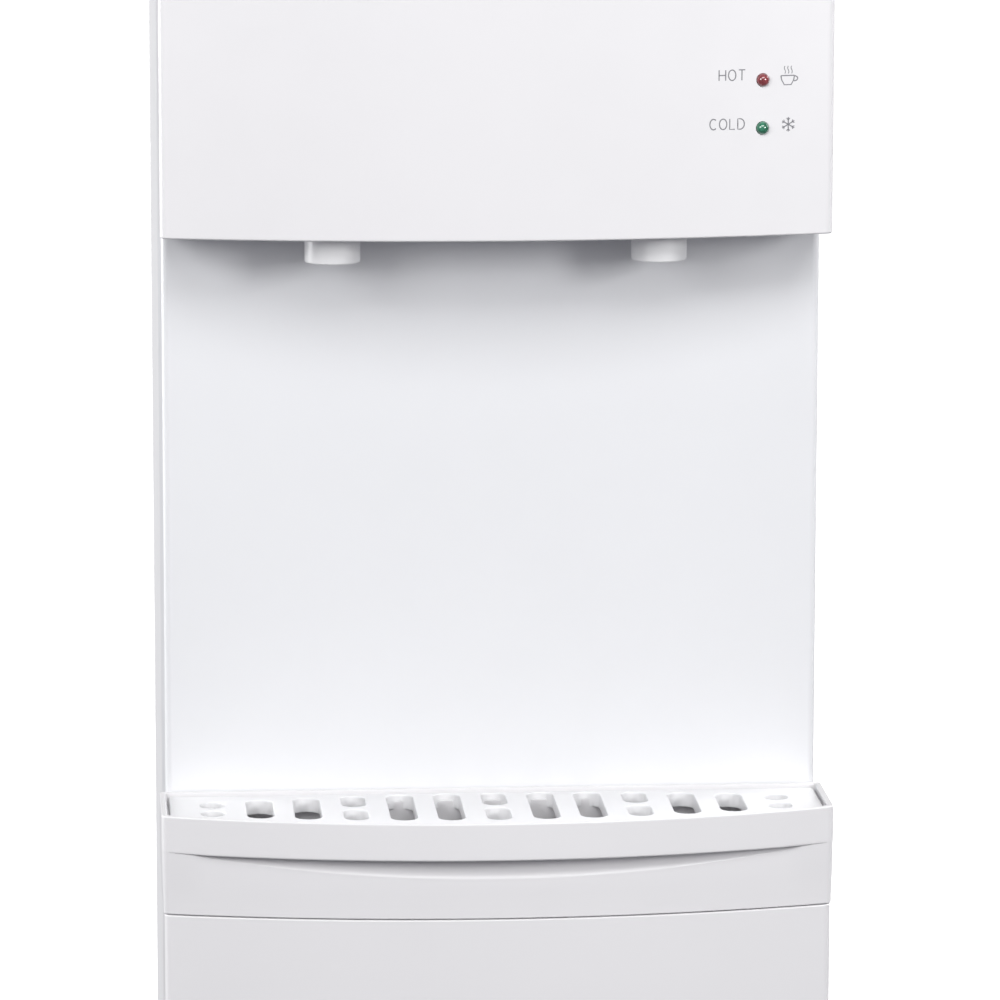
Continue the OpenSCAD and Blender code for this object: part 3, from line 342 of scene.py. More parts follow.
class Bow:
    """Plan outline with straight sides and a front on a circular arc, its corners rounded."""

    corner_steps = 8

    def __init__(self, half, side, front, corner, stops=()):
        self.xs = sorted({4.0 * i for i in range(-31, 32)} | set(stops))
        sag = side - front
        self.half = half
        self.radius = (half * half + sag * sag) / (2 * sag)
        self.centre = front + self.radius
        self.corner = corner

    def y(self, x, inset=0.0):
        return self.centre - math.sqrt((self.radius - inset) ** 2 - x * x)

    def path(self, inset=0.0):
        """Points from the left side to the right side, always as many."""
        corner = max(0.4, self.corner - inset)
        half = self.half - inset
        inner = half - corner
        turn = self.y(half, inset)
        left = []
        for i in range(self.corner_steps):
            t = i / self.corner_steps
            a, b, c = (1 - t) ** 2, 2 * t * (1 - t), t * t
            y = (turn + corner) * a + turn * b + self.y(inner, inset) * c
            left.append((-half * (a + b) - inner * c, y))
        return left + [(x, self.y(x, inset)) for x in [-inner] + self.xs + [inner]] + mirrored(left)

    def loop(self, back, inset=0.0, corner=0.8):
        """The closed outline, its back edge at y = back - inset."""
        rear = rear_corner(self.half - inset, back - inset, corner)
        return self.path(inset) + rear + mirrored(rear)


def as_mesh(bm, name):
    """Ends a bmesh drawn in millimetres as a mesh in the frame's metres."""
    bmesh.ops.remove_doubles(bm, verts=bm.verts, dist=0.004)
    bmesh.ops.dissolve_degenerate(bm, edges=bm.edges, dist=0.004)
    bmesh.ops.recalc_face_normals(bm, faces=bm.faces)
    bm.transform(TO_FRAME)
    mesh = bpy.data.meshes.new(name)
    bm.to_mesh(mesh)
    bm.free()
    return mesh


def baked(obj):
    """The object's mesh with its modifiers applied."""
    bpy.context.view_layer.update()
    return bpy.data.meshes.new_from_object(obj.evaluated_get(bpy.context.evaluated_depsgraph_get()))


def flat_plate(bm, loops, z0, z1, edge):
    """Adds a flat plate with holes, its edges rounded. The first loop is the outline."""
    curve = bpy.data.curves.new("plate", "CURVE")
    curve.dimensions = "2D"
    curve.fill_mode = "BOTH"
    curve.extrude = (z1 - z0) / 2 - edge
    curve.bevel_depth = edge
    curve.bevel_resolution = 2
    curve.offset = -edge
    for loop in loops:
        spline = curve.splines.new("POLY")
        spline.points.add(len(loop) - 1)
        for point, (x, y) in zip(spline.points, loop):
            point.co = (x, y, 0.0, 1.0)
        spline.use_cyclic_u = True
    obj = bpy.data.objects.new("plate", curve)
    SCENE.collection.objects.link(obj)
    mesh = baked(obj)
    mesh.transform(Matrix.Translation((0, 0, (z0 + z1) / 2)))
    bm.from_mesh(mesh)
    bpy.data.objects.remove(obj)
    bpy.data.meshes.remove(mesh)


def minus(obj, cutters):
    """Takes a bmesh of cutters, drawn in millimetres, out of the object."""
    tool = bpy.data.objects.new("cutter", as_mesh(cutters, "cutter"))
    SCENE.collection.objects.link(tool)
    modifier = obj.modifiers.new("cut", "BOOLEAN")
    modifier.object = tool
    modifier.solver = "EXACT"
    mesh = baked(obj)
    obj.modifiers.clear()
    obj.data = mesh
    bpy.data.objects.remove(tool)


def soften(obj, width, angle=40.0, segments=2):
    """Rounds an object's sharp edges."""
    bevel = obj.modifiers.new("edges", "BEVEL")
    bevel.width = width * MM
    bevel.segments = segments
    bevel.limit_method = "ANGLE"
    bevel.angle_limit = math.radians(angle)


def piece(bm, name, slot, body, replaces=(), edges=0.0, cutters=None, angle=35.0):
    """Makes a bmesh into a finished piece that rides on a body and stands for CAD nodes."""
    obj = bpy.data.objects.new(name, as_mesh(bm, name))
    SCENE.collection.objects.link(obj)
    if cutters is not None:
        minus(obj, cutters)
    obj.data.materials.clear()
    obj.data.materials.append(SLOTS.get(slot, PRINT))
    if edges:
        soften(obj, edges)
    obj.data.shade_smooth()
    obj.data.set_sharp_from_angle(angle=math.radians(angle))
    obj.modifiers.new("normals", "WEIGHTED_NORMAL").keep_sharp = True
    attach(obj, body)
    if replaces:
        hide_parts(*replaces)
    return obj


# ---------------------------------------------------------------- dimensions, in step with part.scad

hood_low, hood_high = box("hood")
frame_low, frame_high = box("front_frame")
tray_low, tray_high = box("drip_tray")
grate_low, grate_high = box("drip_grate")
panel_low, panel_high = box("lower_front_panel")
cover_low, cover_high = box("top_cover")
collar_low, collar_high = box("bottle_collar")

SHELL_T = 2.5
CORNER = 3.0
TAP_X = middle("cold_tap_body").x
TAP_Y = -24.0
TAP_R = 11.2
TAIL_RISE = 52.0
SEAT_Y = middle("bottle_collar").y
LENS_R = 2.7
FLANGE_DROP = 7.5
KEY_Z = box("hot_key")[0].z + FLANGE_DROP
KEY_W = 44.0
KEY_H = 26.0
RUNNER_X = 90.0

WINDOW = KEY_W / 2 + 0.3
WINDOWS = [x + side * WINDOW for x in (-TAP_X, TAP_X) for side in (-1, 1)]
HOOD = Bow(hood_high.x, -33.0, hood_low.y, CORNER, WINDOWS)
LIP = Bow(tray_high.x, -45.4, tray_low.y, CORNER)
BODY = Bow(tray_high.x, -45.0, tray_low.y + 7.0, CORNER)
PANEL = Bow(panel_high.x, -45.0, panel_low.y, CORNER)


# ---------------------------------------------------------------- hood


def hood():
    bm = bmesh.new()
    z0, z1, back = hood_low.z, hood_high.z, hood_high.y
    sills = [KEY_Z - 0.3, KEY_Z + KEY_H + 0.3]
    lamps = [middle(node).z + step for node in ("cold_lens", "hot_lens") for step in (-5, 5)]
    rows = [(0.0, z) for z in lamps + sills]
    outside = edge_out(z0, 0.8) + rows + edge_in(z1, 0.6)
    inside = [(SHELL_T, z1)] + [(SHELL_T, z) for _, z in rows[::-1]]
    inside += [(SHELL_T, z0 + 0.3), (SHELL_T - 0.3, z0)]
    made = []
    for inset, z in outside + inside:
        half = HOOD.half - inset
        outline = [(-half, back)] + HOOD.path(inset) + [(half, back)]
        made.append([bm.verts.new((x, y, z)) for x, y in outline])
    count = len(made[0])
    for low, high in zip(made, made[1:] + made[:1]):
        for i in range(count - 1):
            bm.faces.new((low[i], low[i + 1], high[i + 1], high[i]))
    for end in (0, -1):
        bm.faces.new([ring[end] for ring in made])
    # key windows: the faces between the sills go, and walls join the outside to the inside
    near_low = next(r for r in made if abs(r[0].co.z - sills[0]) < 0.01)
    near_high = next(r for r in made if abs(r[0].co.z - sills[1]) < 0.01)
    far_low = next(r for r in made[::-1] if abs(r[0].co.z - sills[0]) < 0.01)
    far_high = next(r for r in made[::-1] if abs(r[0].co.z - sills[1]) < 0.01)
    for x in (-TAP_X, TAP_X):
        on_front = [i for i in range(count) if near_low[i].co.y < -30]
        columns = [i for i in on_front if abs(near_low[i].co.x - x) < WINDOW + 0.01]
        gone = []
        for low, high in ((near_low, near_high), (far_low, far_high)):
            for i in columns[:-1]:
                gone.append(bm.faces.get((low[i], low[i + 1], high[i + 1], high[i])))
        bmesh.ops.delete(bm, geom=gone, context="FACES_ONLY")
        for near, far in ((near_low, far_low), (near_high, far_high)):
            for i in columns[:-1]:
                bm.faces.new((near[i], near[i + 1], far[i + 1], far[i]))
        for i in (columns[0], columns[-1]):
            bm.faces.new((near_low[i], near_high[i], far_high[i], far_low[i]))
    # plate let into the underside, with notches for the taps that open to the rear
    notch = TAP_R + 0.6
    turn = [math.pi * i / 24 for i in range(25)]
    front = HOOD.path(SHELL_T - 0.2)
    outline = [(front[0][0], back)] + front + [(front[-1][0], back)]
    for x in (TAP_X, -TAP_X):
        outline.append((x + notch, back))
        outline += [(x + notch * math.cos(a), TAP_Y - notch * math.sin(a)) for a in turn]
        outline.append((x - notch, back))
    flat_plate(bm, [outline], z0 + 4.0, z0 + 4.0 + SHELL_T, 0.3)
    for x in (-118.0, 118.0):
        for z in (z0 + 20.0, z1 - 14.0):
            tube(bm, x, -14.0, back, z, 4.5, 1.7)
    cutters = bmesh.new()
    for node in ("hot_lens", "cold_lens"):
        at = middle(node)
        tube(cutters, at.x, -60, -34, at.z, LENS_R + 0.05, steps=64)
    return piece(bm, "hood_shell", "white_shell", "cabinet", ["hood"], 0.0, cutters)


hood()


# ---------------------------------------------------------------- front frame and lower panel


def front_frame():
    bm = bmesh.new()
    half, reach = frame_high.x, frame_high.y
    left = [(-half + CORNER * (1 - math.cos(a)), CORNER * (1 - math.sin(a))) for a in quarter(6)]
    inner = half - SHELL_T
    outline = [(-half, reach)] + left + mirrored(left) + [(half, reach)]
    outline += [(inner, reach), (inner, SHELL_T), (-inner, SHELL_T), (-inner, reach)]
    skin(bm, [level(outline, frame_low.z), level(outline, frame_high.z)])
    cutters = bmesh.new()
    for x in (-TAP_X, TAP_X):
        tube(cutters, x, -1, SHELL_T + 1, box("cold_tap_body")[0].z + TAIL_RISE, 7.8)
    for x in (-RUNNER_X, RUNNER_X):
        block(cutters, (x - 8, -1, tray_low.z + 5.3), (x + 8, SHELL_T + 1, tray_low.z + 10.7))
    return piece(bm, "front_frame_shell", "recess_shell", "cabinet", ["front_frame"], 0.3, cutters)


def lower_panel():
    bm = bmesh.new()
    z0, z1, back = panel_low.z, panel_high.z, panel_high.y
    profile = [(SHELL_T, z1 - SHELL_T), (SHELL_T, z0)] + edge_out(z0, 0.8) + edge_in(z1, 0.5)
    skin(bm, [level(PANEL.loop(back, inset), z) for inset, z in profile])
    return piece(bm, "lower_panel", "white_shell", "cabinet", ["lower_front_panel"])


front_frame()
lower_panel()


# ---------------------------------------------------------------- drip tray

TRAY_BACK = -0.4
LIP_H = 15.5
GRIP_HALF = 129.0
GRIP_DROP = 8.5
HOOK = 0.6


def ease(t):
    t = min(1.0, max(0.0, t))
    return t * t * (3 - 2 * t)


def crescent(x):
    """Height of the finger grip as a share of its height at the middle."""
    return max(0.0, 1.0 - (x / GRIP_HALF) ** 2)


def tray_ring(z, inset, lip, fade=0.0, deepen=0.0, drop=0.0):
    """Ring between the outlines of the body (lip = 0) and the lip (lip = 1).

    With fade, the step between the two dies out towards the corners. The finger grip is a crescent:
    drop lowers the ring and deepen sets it back, both by the grip's share of its middle.
    """
    ring = []
    outlines = zip(LIP.loop(TRAY_BACK, inset), BODY.loop(TRAY_BACK, inset))
    for (x, front), (_, rear) in outlines:
        grip = crescent(x) if front < -30 else 0.0
        step = ease(grip / 0.16)
        hook = HOOK * ease((abs(x) - 116.0) / 14.0)
        depth = (rear - front) * (1 - lip) * (1 - fade * (1 - step))
        scoop = deepen * step * (0.35 + 0.65 * grip)
        ring.append((x, front + depth + scoop, z + fade * hook - drop * max(grip, 0.02)))
    return ring


# (share of the grip's height below the lip, depth of the grip there)
SCOOP = [(1.1, 0.0), (1.0, 0.3), (0.9, 0.9), (0.7, 2.1), (0.5, 3.2), (0.3, 4.1), (0.12, 4.7)]


def tray():
    bm = bmesh.new()
    z0, z1 = tray_low.z, tray_high.z
    under = z1 - LIP_H
    round_r = 0.9
    rings = [tray_ring(z, inset + 0.6, 0.0) for inset, z in edge_out(z0, 0.5)]
    rings += [tray_ring(z0 + 8, 0.45, 0.0), tray_ring(under - 14, 0.25, 0.0, 0.2)]
    rings += [tray_ring(under, 0.1, 0.0, 1.0, depth, GRIP_DROP * share) for share, depth in SCOOP]
    rings += [tray_ring(under, 0.0, 0.1, 1.0, 4.2), tray_ring(under, 0.0, 0.85, 1.0)]
    for a in quarter()[1:]:
        rise, set_back = round_r * (1 - math.cos(a)), round_r * (1 - math.sin(a))
        rings.append(tray_ring(under + rise, 0.0, 1.0, 1.0, set_back))
    rings.append(tray_ring(under + 4, 0.0, 1.0))
    rings += [tray_ring(z, inset, 1.0) for inset, z in edge_in(z1, 0.7)]
    rings += [tray_ring(z1, 2.2, 1.0), tray_ring(z1 - 0.4, 2.6, 1.0), tray_ring(z1 - 4, 2.6, 1.0)]
    rings += [tray_ring(z1 - 4, 5.5, 0.0), tray_ring(z1 - 4.5, 6.0, 0.0)]
    rings += [tray_ring(z0 + 4, 6.6, 0.0), tray_ring(z0 + 2.5, 8.0, 0.0)]
    skin(bm, rings)
    for x in (-RUNNER_X, RUNNER_X):
        block(bm, (x - 7, TRAY_BACK - 1, z0 + 6), (x + 7, tray_high.y, z0 + 10))
    return piece(bm, "tray_shell", "tray_plastic", "drip_tray", ["drip_tray"], angle=42)


tray()


# ---------------------------------------------------------------- grate

SLOT_PITCH = 19.3
SLOT_W = 11.0
SLOT_COUNT = 6
SLOT_END = 116.0


def slot_loop(x, y0, y1, w, steps=12):
    r = w / 2
    ends = [math.pi * i / steps for i in range(steps + 1)]
    front = [(x - r * math.cos(a), y0 + r - r * math.sin(a)) for a in ends]
    rear = [(x + r * math.cos(a), y1 - r + r * math.sin(a)) for a in ends]
    return front + rear


def grate_slots(grow=0.0):
    """Outlines of the slots, every third of which has a bridge across its middle."""
    loops = []
    for k in range(-SLOT_COUNT, SLOT_COUNT + 1):
        x = k * SLOT_PITCH
        rear = -5 - 10 * (x / SLOT_END) ** 2
        front = -54.5 + 13 * (x / SLOT_END) ** 2
        spans = [(front, rear, SLOT_W)]
        if k % 3 == 0:
            bridge = (rear + front) / 2
            spans = [(bridge + 2, rear, SLOT_W - 1), (front, bridge - 2, SLOT_W - 1)]
        loops += [slot_loop(x, y0 - grow, y1 + grow, w + 2 * grow) for y0, y1, w in spans]
    return loops


def grate():
    bm = bmesh.new()
    z1 = grate_high.z
    flat_plate(bm, [LIP.loop(TRAY_BACK, 3.7, 1.5)] + grate_slots(), z1 - 2.5, z1, 0.5)
    for inner, outer in zip(grate_slots(), grate_slots(1.0)):
        flat_plate(bm, [outer, inner], grate_low.z, z1 - 2.0, 0.2)
    return piece(bm, "grate_plate", "grate_plastic", "drip_grate", ["drip_grate"], angle=50)


grate()


# ---------------------------------------------------------------- taps


def tap(node):
    """Barrel with the nozzle below, and the tail through the recess wall."""
    bm = bmesh.new()
    low, high = box(node)
    x = middle(node).x
    seat = low.z + 34
    bore_r, chamber_r, way_r = 7.5, 8.5, 4.0
    profile = [(TAP_R - r, z) for r, z in edge_out(low.z, 0.7)]
    profile += [(TAP_R, high.z - 0.4), (TAP_R - 0.4, high.z), (chamber_r, high.z), (chamber_r, seat)]
    profile += [(way_r, seat), (way_r, seat - 3), (bore_r, seat - 3)]
    profile += [(bore_r + r, z) for r, z in edge_out(low.z, 0.7)[::-1]]
    turned(bm, profile, (x, TAP_Y, 0), "Z", 96, True)
    tail = (x, 0, low.z + TAIL_RISE)
    start = TAP_Y + 9
    spigot = [(7.5, start), (7.5, 18), (5.5, 19), (5.5, 26), (way_r, 26), (way_r, start)]
    turned(bm, spigot, tail, "Y", 64, True)
    turned(bm, [(12.1, -4.5), (12.5, -4.1), (12.5, -1.5), (7.4, -1.5), (7.4, -4.5)], tail, "Y", 64, True)
    return piece(bm, node + "_turned", "nozzle_plastic", "cabinet", [node])


tap("hot_tap_body")
tap("cold_tap_body")


def valve_spring(side):
    """Spring between the valve plug and the cap; the real one shortens as the stem lifts, this coil stays at
    its rest length.
    """
    bm = bmesh.new()
    node = side + "_spring"
    low, high = box(node)
    x = middle(side + "_tap_body").x
    wire_r, coil_r, turns, per_turn = 0.6, 5.0, 5, 36
    z0, z1 = low.z + wire_r, high.z - wire_r
    count = turns * per_turn
    pitch_angle = math.atan((z1 - z0) / (2 * math.pi * coil_r * turns))
    rings = []
    for i in range(count + 1):
        turn = Matrix.Rotation(2 * math.pi * i / per_turn, 4, "Z") @ Matrix.Translation((coil_r, 0, 0))
        turn = Matrix.Translation((x, TAP_Y, z0 + (z1 - z0) * i / count)) @ turn
        turn = turn @ Matrix.Rotation(pitch_angle, 4, "X")
        rings.append([turn @ Vector((u, 0, v)) for u, v in arc(0, 0, wire_r, wire_r, 0, 360, 12)[:-1]])
    skin(bm, rings)
    obj = bpy.data.objects.new(node + "_coil", as_mesh(bm, node + "_coil"))
    SCENE.collection.objects.link(obj)
    obj.data.materials.append(SLOTS["stainless"])
    obj.data.shade_smooth()
    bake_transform(obj)
    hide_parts(node)


valve_spring("hot")
valve_spring("cold")


# ---------------------------------------------------------------- keys


def bowed_slab(bm, front, back, x0, x1, z0, z1, columns=26, rows=16):
    """Closed slab between two surfaces given as y(x, z)."""
    sheets = []
    for surface in (front, back):
        sheet = []
        for j in range(rows + 1):
            z = z0 + (z1 - z0) * j / rows
            xs = [x0 + (x1 - x0) * i / columns for i in range(columns + 1)]
            sheet.append([bm.verts.new((x, surface(x, z), z)) for x in xs])
        for j in range(rows):
            for i in range(columns):
                bm.faces.new((sheet[j][i], sheet[j][i + 1], sheet[j + 1][i + 1], sheet[j + 1][i]))
        sheets.append(sheet)
    rim = [(0, i) for i in range(columns)] + [(j, columns) for j in range(rows)]
    rim += [(rows, i) for i in range(columns, 0, -1)] + [(j, 0) for j in range(rows, 0, -1)]
    near, far = sheets
    for (ja, ia), (jb, ib) in zip(rim, rim[1:] + rim[:1]):
        bm.faces.new((near[ja][ia], near[jb][ib], far[jb][ib], far[ja][ia]))


def key(node):
    """Push key: a dished cap that follows the hood, its rear flange and its rod."""
    bm = bmesh.new()
    at, rod_end = middle(node), box(node)[1].y
    half = KEY_W / 2

    def dished(x, z):
        u = (x - at.x) / half
        v = (z - KEY_Z - KEY_H / 2) / (KEY_H / 2)
        return HOOD.y(x, -2.0) + 0.7 * (1 - u * u) * (1 - v * v)

    bowed_slab(bm, dished, lambda x, z: HOOD.y(x, 2.4), at.x - half, at.x + half, KEY_Z, KEY_Z + KEY_H)
    flange = half + 3
    low, high = KEY_Z - FLANGE_DROP, KEY_Z + KEY_H + 3
    near, far = (lambda x, z: HOOD.y(x, 2.9)), (lambda x, z: HOOD.y(x, 4.9))
    bowed_slab(bm, near, far, at.x - flange, at.x + flange, low, high)
    tip = [(3.0, rod_end - 3), (2.6, rod_end - 1.5), (1.5, rod_end - 0.4), (0.3, rod_end)]
    turned(bm, [(3.0, -40.0)] + tip, (at.x, 0, KEY_Z - 3), "Y", 48)
    return piece(bm, node + "_cap", "key_plastic", node, [node], 0.8)


key("hot_key")
key("cold_key")


# ---------------------------------------------------------------- indicators and their marks


def lens_dome(node, slot):
    bm = bmesh.new()
    at = middle(node)
    centre = HOOD.y(at.x) + 0.6
    dome = [(LENS_R * math.sin(a) + 0.02, centre - LENS_R * math.cos(a)) for a in quarter(10)]
    turned(bm, dome + [(LENS_R, -33), (LENS_R + 1, -33), (LENS_R + 1, -32)], (at.x, 0, at.z), "Y", 64)
    return piece(bm, node + "_dome", slot, "cabinet", [node], angle=50)


lens_dome("hot_lens", "red_lens")
lens_dome("cold_lens", "green_lens")

STROKE = 0.45
FINE = 0.32
CAP_H = 4.2


def ribbon(bm, points, width=STROKE, closed=False):
    """Printed stroke that follows the hood's face."""
    count = len(points)
    rings = []
    for i, (x, z) in enumerate(points):
        ahead = points[(i + 1) % count] if closed or i + 1 < count else points[i]
        behind = points[i - 1] if closed or i else points[i]
        dx, dz = ahead[0] - behind[0], ahead[1] - behind[1]
        scale = width / 2 / math.hypot(dx, dz)
        sides = [(x - dz * scale, z + dx * scale), (x + dz * scale, z - dx * scale)]
        face = [(u, HOOD.y(u, -0.05), v) for u, v in sides]
        rings.append(face + [(u, HOOD.y(u, 0.1), v) for u, v in sides[::-1]])
    skin(bm, rings, True, closed)


GLYPHS = {
    "H": (2.7, [[(0, 0), (0, 1)], [(1, 0), (1, 1)], [(0, 0.5), (1, 0.5)]]),
    "T": (2.7, [[(0, 1), (1, 1)], [(0.5, 0), (0.5, 1)]]),
    "O": (3.0, [arc(0.5, 0.5, 0.5, 0.5, 0, 360, 28)]),
    "C": (2.7, [arc(0.55, 0.5, 0.55, 0.5, 50, 310, 22)]),
    "L": (2.1, [[(0, 1), (0, 0), (1, 0)]]),
    "D": (2.7, [[(0, 0.5), (0, 1)] + arc(0.35, 0.5, 0.65, 0.5, 90, -90, 18) + [(0, 0), (0, 0.5)]]),
}


def word(bm, text, x0, x1, z0):
    """Plain capitals spread evenly between x0 and x1."""
    widths = [GLYPHS[c][0] for c in text]
    gap = (x1 - x0 - sum(widths)) / (len(text) - 1)
    x = x0
    for c, width in zip(text, widths):
        for stroke in GLYPHS[c][1]:
            ribbon(bm, [(x + u * width, z0 + v * CAP_H) for u, v in stroke])
        x += width + gap


def cup(bm, x, rim):
    """Cup with a handle and three lines of steam; rim is the height of its rim."""
    for s in (-1.6, -0.2, 1.2):
        steam = [(x + s + 0.25 * math.sin(math.pi * t / 4), rim + 0.8 + 0.38 * t) for t in range(9)]
        ribbon(bm, steam, FINE)
    wall = [(x - 3.2, rim), (x - 2.9, rim - 1.7), (x - 1.8, rim - 3.7)]
    wall += [(x + 1.0, rim - 3.7), (x + 2.1, rim - 1.7), (x + 2.4, rim)]
    ribbon(bm, [(x - 3.2, rim), (x + 2.4, rim)])
    ribbon(bm, wall)
    ribbon(bm, arc(x + 2.4, rim - 1.2, 1.3, 1.0, 95, -100))


def snowflake(bm, x, z):
    arm, barb = 2.9, 1.1
    for k in range(6):
        a = math.radians(30 + 60 * k)
        ribbon(bm, [(x, z), (x + arm * math.cos(a), z + arm * math.sin(a))])
        root = (x + 0.6 * arm * math.cos(a), z + 0.6 * arm * math.sin(a))
        for b in (a - 0.7, a + 0.7):
            ribbon(bm, [root, (root[0] + barb * math.cos(b), root[1] + barb * math.sin(b))], FINE)


def marks():
    bm = bmesh.new()
    hot_z, cold_z = middle("hot_lens").z, middle("cold_lens").z
    word(bm, "HOT", 87.8, 98.5, hot_z + 0.1)
    word(bm, "COLD", 84.2, 98.3, cold_z - 0.2)
    cup(bm, 116.4, hot_z + 1.55)
    snowflake(bm, 116.4, cold_z + 1.2)
    return piece(bm, "indicator_marks", None, "cabinet")


marks()


# ---------------------------------------------------------------- top cover and bottle seat


def cover():
    """Shallow lid with the bowed front and a round opening over the bottle seat."""
    bm = bmesh.new()
    z0, z1 = cover_low.z, cover_high.z
    opening, plate_t, rear_r = 100.0, 3.0, 3.0

    def outline(inset):
        half, rear = frame_high.x - inset, cover_high.y - inset
        side = [(half, 2.0 + (rear - rear_r - 2.0) * i / 24) for i in range(24)]
        corner = rear_corner(half, rear, rear_r, 6)
        span = half - rear_r
        back = [(span - 2 * span * i / 24, rear) for i in range(1, 24)]
        return HOOD.path(inset) + side + corner + back + mirrored(corner) + mirrored(side)

    def circle(radius, z):
        angles = [math.atan2(y - SEAT_Y, x) for x, y in outline(0)]
        return [(radius * math.cos(a), SEAT_Y + radius * math.sin(a), z) for a in angles]

    rings = [level(outline(inset), z) for inset, z in edge_out(z0, 0.4) + edge_in(z1, 2.2)]
    rings += [circle(opening + 0.4, z1), circle(opening, z1 - 0.4), circle(opening, z1 - plate_t)]
    rings += [level(outline(SHELL_T), z1 - plate_t), level(outline(SHELL_T), z0)]
    skin(bm, rings, True, True)
    return piece(bm, "cover_shell", "white_shell", "cabinet", ["top_cover"], angle=50)


def collar():
    bm = bmesh.new()
    top, crown = cover_high.z, collar_high.z
    dish, cup_floor = top - 11, collar_low.z + 3
    profile = [(29.0, dish - 30), (29.0, dish - 1), (29.5, dish + 0.6)]
    profile += [(31.0, dish + 2.4), (33.5, dish + 3.6)]
    rise = crown - 3 - dish - 3.6
    profile += [(33.5 + 5.25 * t, dish + 3.6 + rise * (t / 10) ** 1.25) for t in range(1, 11)]
    profile += [(88.5, crown - 1.6), (90.5, crown - 0.5), (93.0, crown), (99.0, crown), (101.5, crown - 0.5)]
    profile += [(104.0, crown - 1.9), (107.2, top + 4.6), (107.9, top + 3.6)]
    profile += [(108.0, top + 2.6), (108.0, top)]
    profile += [(99.5, top), (99.5, top - 8), (96.5, top - 8), (96.5, top), (86.0, crown - 6)]
    profile += [(35.0, dish - 1), (35.0, cup_floor - 3), (1.0, cup_floor - 3), (1.0, cup_floor)]
    profile += [(32.0, cup_floor), (32.0, dish - 30)]
    turned(bm, profile, (0, SEAT_Y, 0), "Z", 160, True)
    cutters = bmesh.new()
    for k in range(6):
        a = math.radians(60 * k + 30)
        at = (24 * math.cos(a), SEAT_Y + 24 * math.sin(a), 0)
        turned(cutters, [(4, cup_floor - 4), (4, cup_floor + 1)], at, "Z", 32)
    return piece(bm, "collar_turned", "collar_plastic", "bottle_collar", ["bottle_collar"], 0.0, cutters, 40)


cover()
collar()


# ---------------------------------------------------------------- CAD nodes that stay, with softened edges

EDGES = {
    "chassis_base": 0.5,
    "rubber_feet": 1.2,
    "side_panel_left": 0.35,
    "side_panel_right": 0.35,
    "rear_panel": 0.3,
    "case_screws": 0.4,
    "power_inlet": 0.5,
    "switch_housings": 0.4,
    "hot_rocker": 0.4,
    "cold_rocker": 0.4,
    "drain_cap": 0.4,
    "drain_pipe": 0.4,
    "feed_probe": 0.4,
    "fan_frame": 0.4,
    "fan_rotor": 0.25,
    "heatsink": 0.2,
    "power_supply": 0.4,
    "control_board": 0.2,
    "hot_lever": 0.3,
    "cold_lever": 0.3,
    "tap_caps": 0.4,
}
for name, width in EDGES.items():
    NODES[name].modifiers.new("weld", "WELD").merge_threshold = 0.01 * MM
    soften(NODES[name], width)
    NODES[name].modifiers.new("normals", "WEIGHTED_NORMAL")


# ---------------------------------------------------------------- floor, light and camera

sheet = bmesh.new()
bmesh.ops.create_grid(sheet, x_segments=1, y_segments=1, size=9000.0)
floor = bpy.data.objects.new("floor", as_mesh(sheet, "floor"))
SCENE.collection.objects.link(floor)
paper = Shader("studio_floor", (0.45, 0.45, 0.45), 0.9, specular=0.1)
paper.tint(paper.noise(3.0, 3.0), 0.995, 1.0)
paper.bsdf.inputs["Emission Color"].default_value = (1.0, 1.0, 1.0, 1.0)
paper.bsdf.inputs["Emission Strength"].default_value = 0.97
floor.data.materials.append(paper.mat)

# The floor shows white, and the room below the horizon lights the object only faintly.
floor.visible_diffuse = False
floor.visible_glossy = False

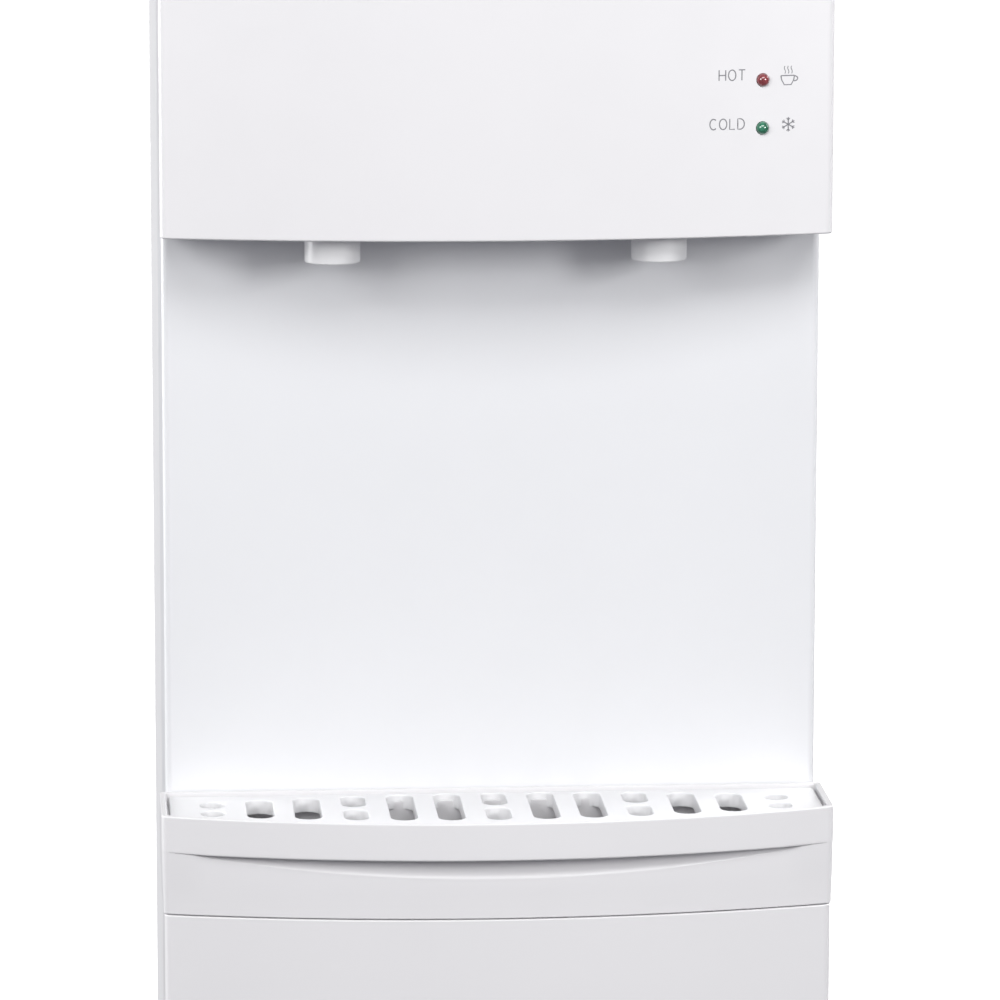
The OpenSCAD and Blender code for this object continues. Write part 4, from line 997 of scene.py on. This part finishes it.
world = bpy.data.worlds.new("studio")
world.use_nodes = True
SCENE.world = world
room = world.node_tree
sky = room.nodes["Background"]
place = room.nodes.new("ShaderNodeTexCoord")
split = room.nodes.new("ShaderNodeSeparateXYZ")
ramp = room.nodes.new("ShaderNodeValToRGB")
room.links.new(place.outputs["Generated"], split.inputs["Vector"])
room.links.new(split.outputs["Z"], ramp.inputs["Fac"])
room.links.new(ramp.outputs["Color"], sky.inputs["Color"])
ramp.color_ramp.elements[0].position = 0.0
ramp.color_ramp.elements[0].color = (0.16, 0.16, 0.18, 1.0)
ramp.color_ramp.elements[1].position = 0.25
ramp.color_ramp.elements[1].color = (0.25, 0.25, 0.25, 1.0)
sky.inputs["Strength"].default_value = 1.0

TARGET = Vector((0.0013, WALL - 0.030, 0.2870))


def softbox(name, azimuth, elevation, distance, size, power):
    """Area light that faces the target, azimuth measured from the front towards the right."""
    a, e = math.radians(azimuth), math.radians(elevation)
    data = bpy.data.lights.new(name, "AREA")
    data.shape = "RECTANGLE"
    data.size, data.size_y = size
    data.energy = power
    obj = bpy.data.objects.new(name, data)
    SCENE.collection.objects.link(obj)
    way = Vector((math.sin(a) * math.cos(e), -math.cos(a) * math.cos(e), math.sin(e)))
    obj.location = TARGET + way * distance
    obj.rotation_euler = way.to_track_quat("Z", "Y").to_euler()


softbox("key", 42, 14, 2.4, (0.6, 0.6), 24)
softbox("fill", -40, 20, 2.4, (1.0, 1.0), 26)
softbox("top", 5, 45, 2.2, (1.6, 0.8), 25)
softbox("side_left", -112, 8, 2.4, (1.2, 1.2), 54)
softbox("side_right", 115, 25, 2.4, (1.2, 1.2), 42)

AZIMUTH, TILT, ROLL, DISTANCE = 4.254, 9.966, 0.084, 2.444
camera = bpy.data.objects.new("camera", bpy.data.cameras.new("camera"))
SCENE.collection.objects.link(camera)
camera.data.lens = 217.2
camera.data.sensor_width = 36.0
camera.data.clip_end = 60.0
turn = Matrix.Rotation(math.radians(-AZIMUTH), 4, "Z") @ Matrix.Rotation(math.radians(90 - TILT), 4, "X")
turn = turn @ Matrix.Rotation(math.radians(ROLL), 4, "Z")
camera.matrix_world = Matrix.Translation(TARGET) @ turn @ Matrix.Translation((0, 0, DISTANCE))
SCENE.camera = camera
SCENE.view_settings.view_transform = "Standard"
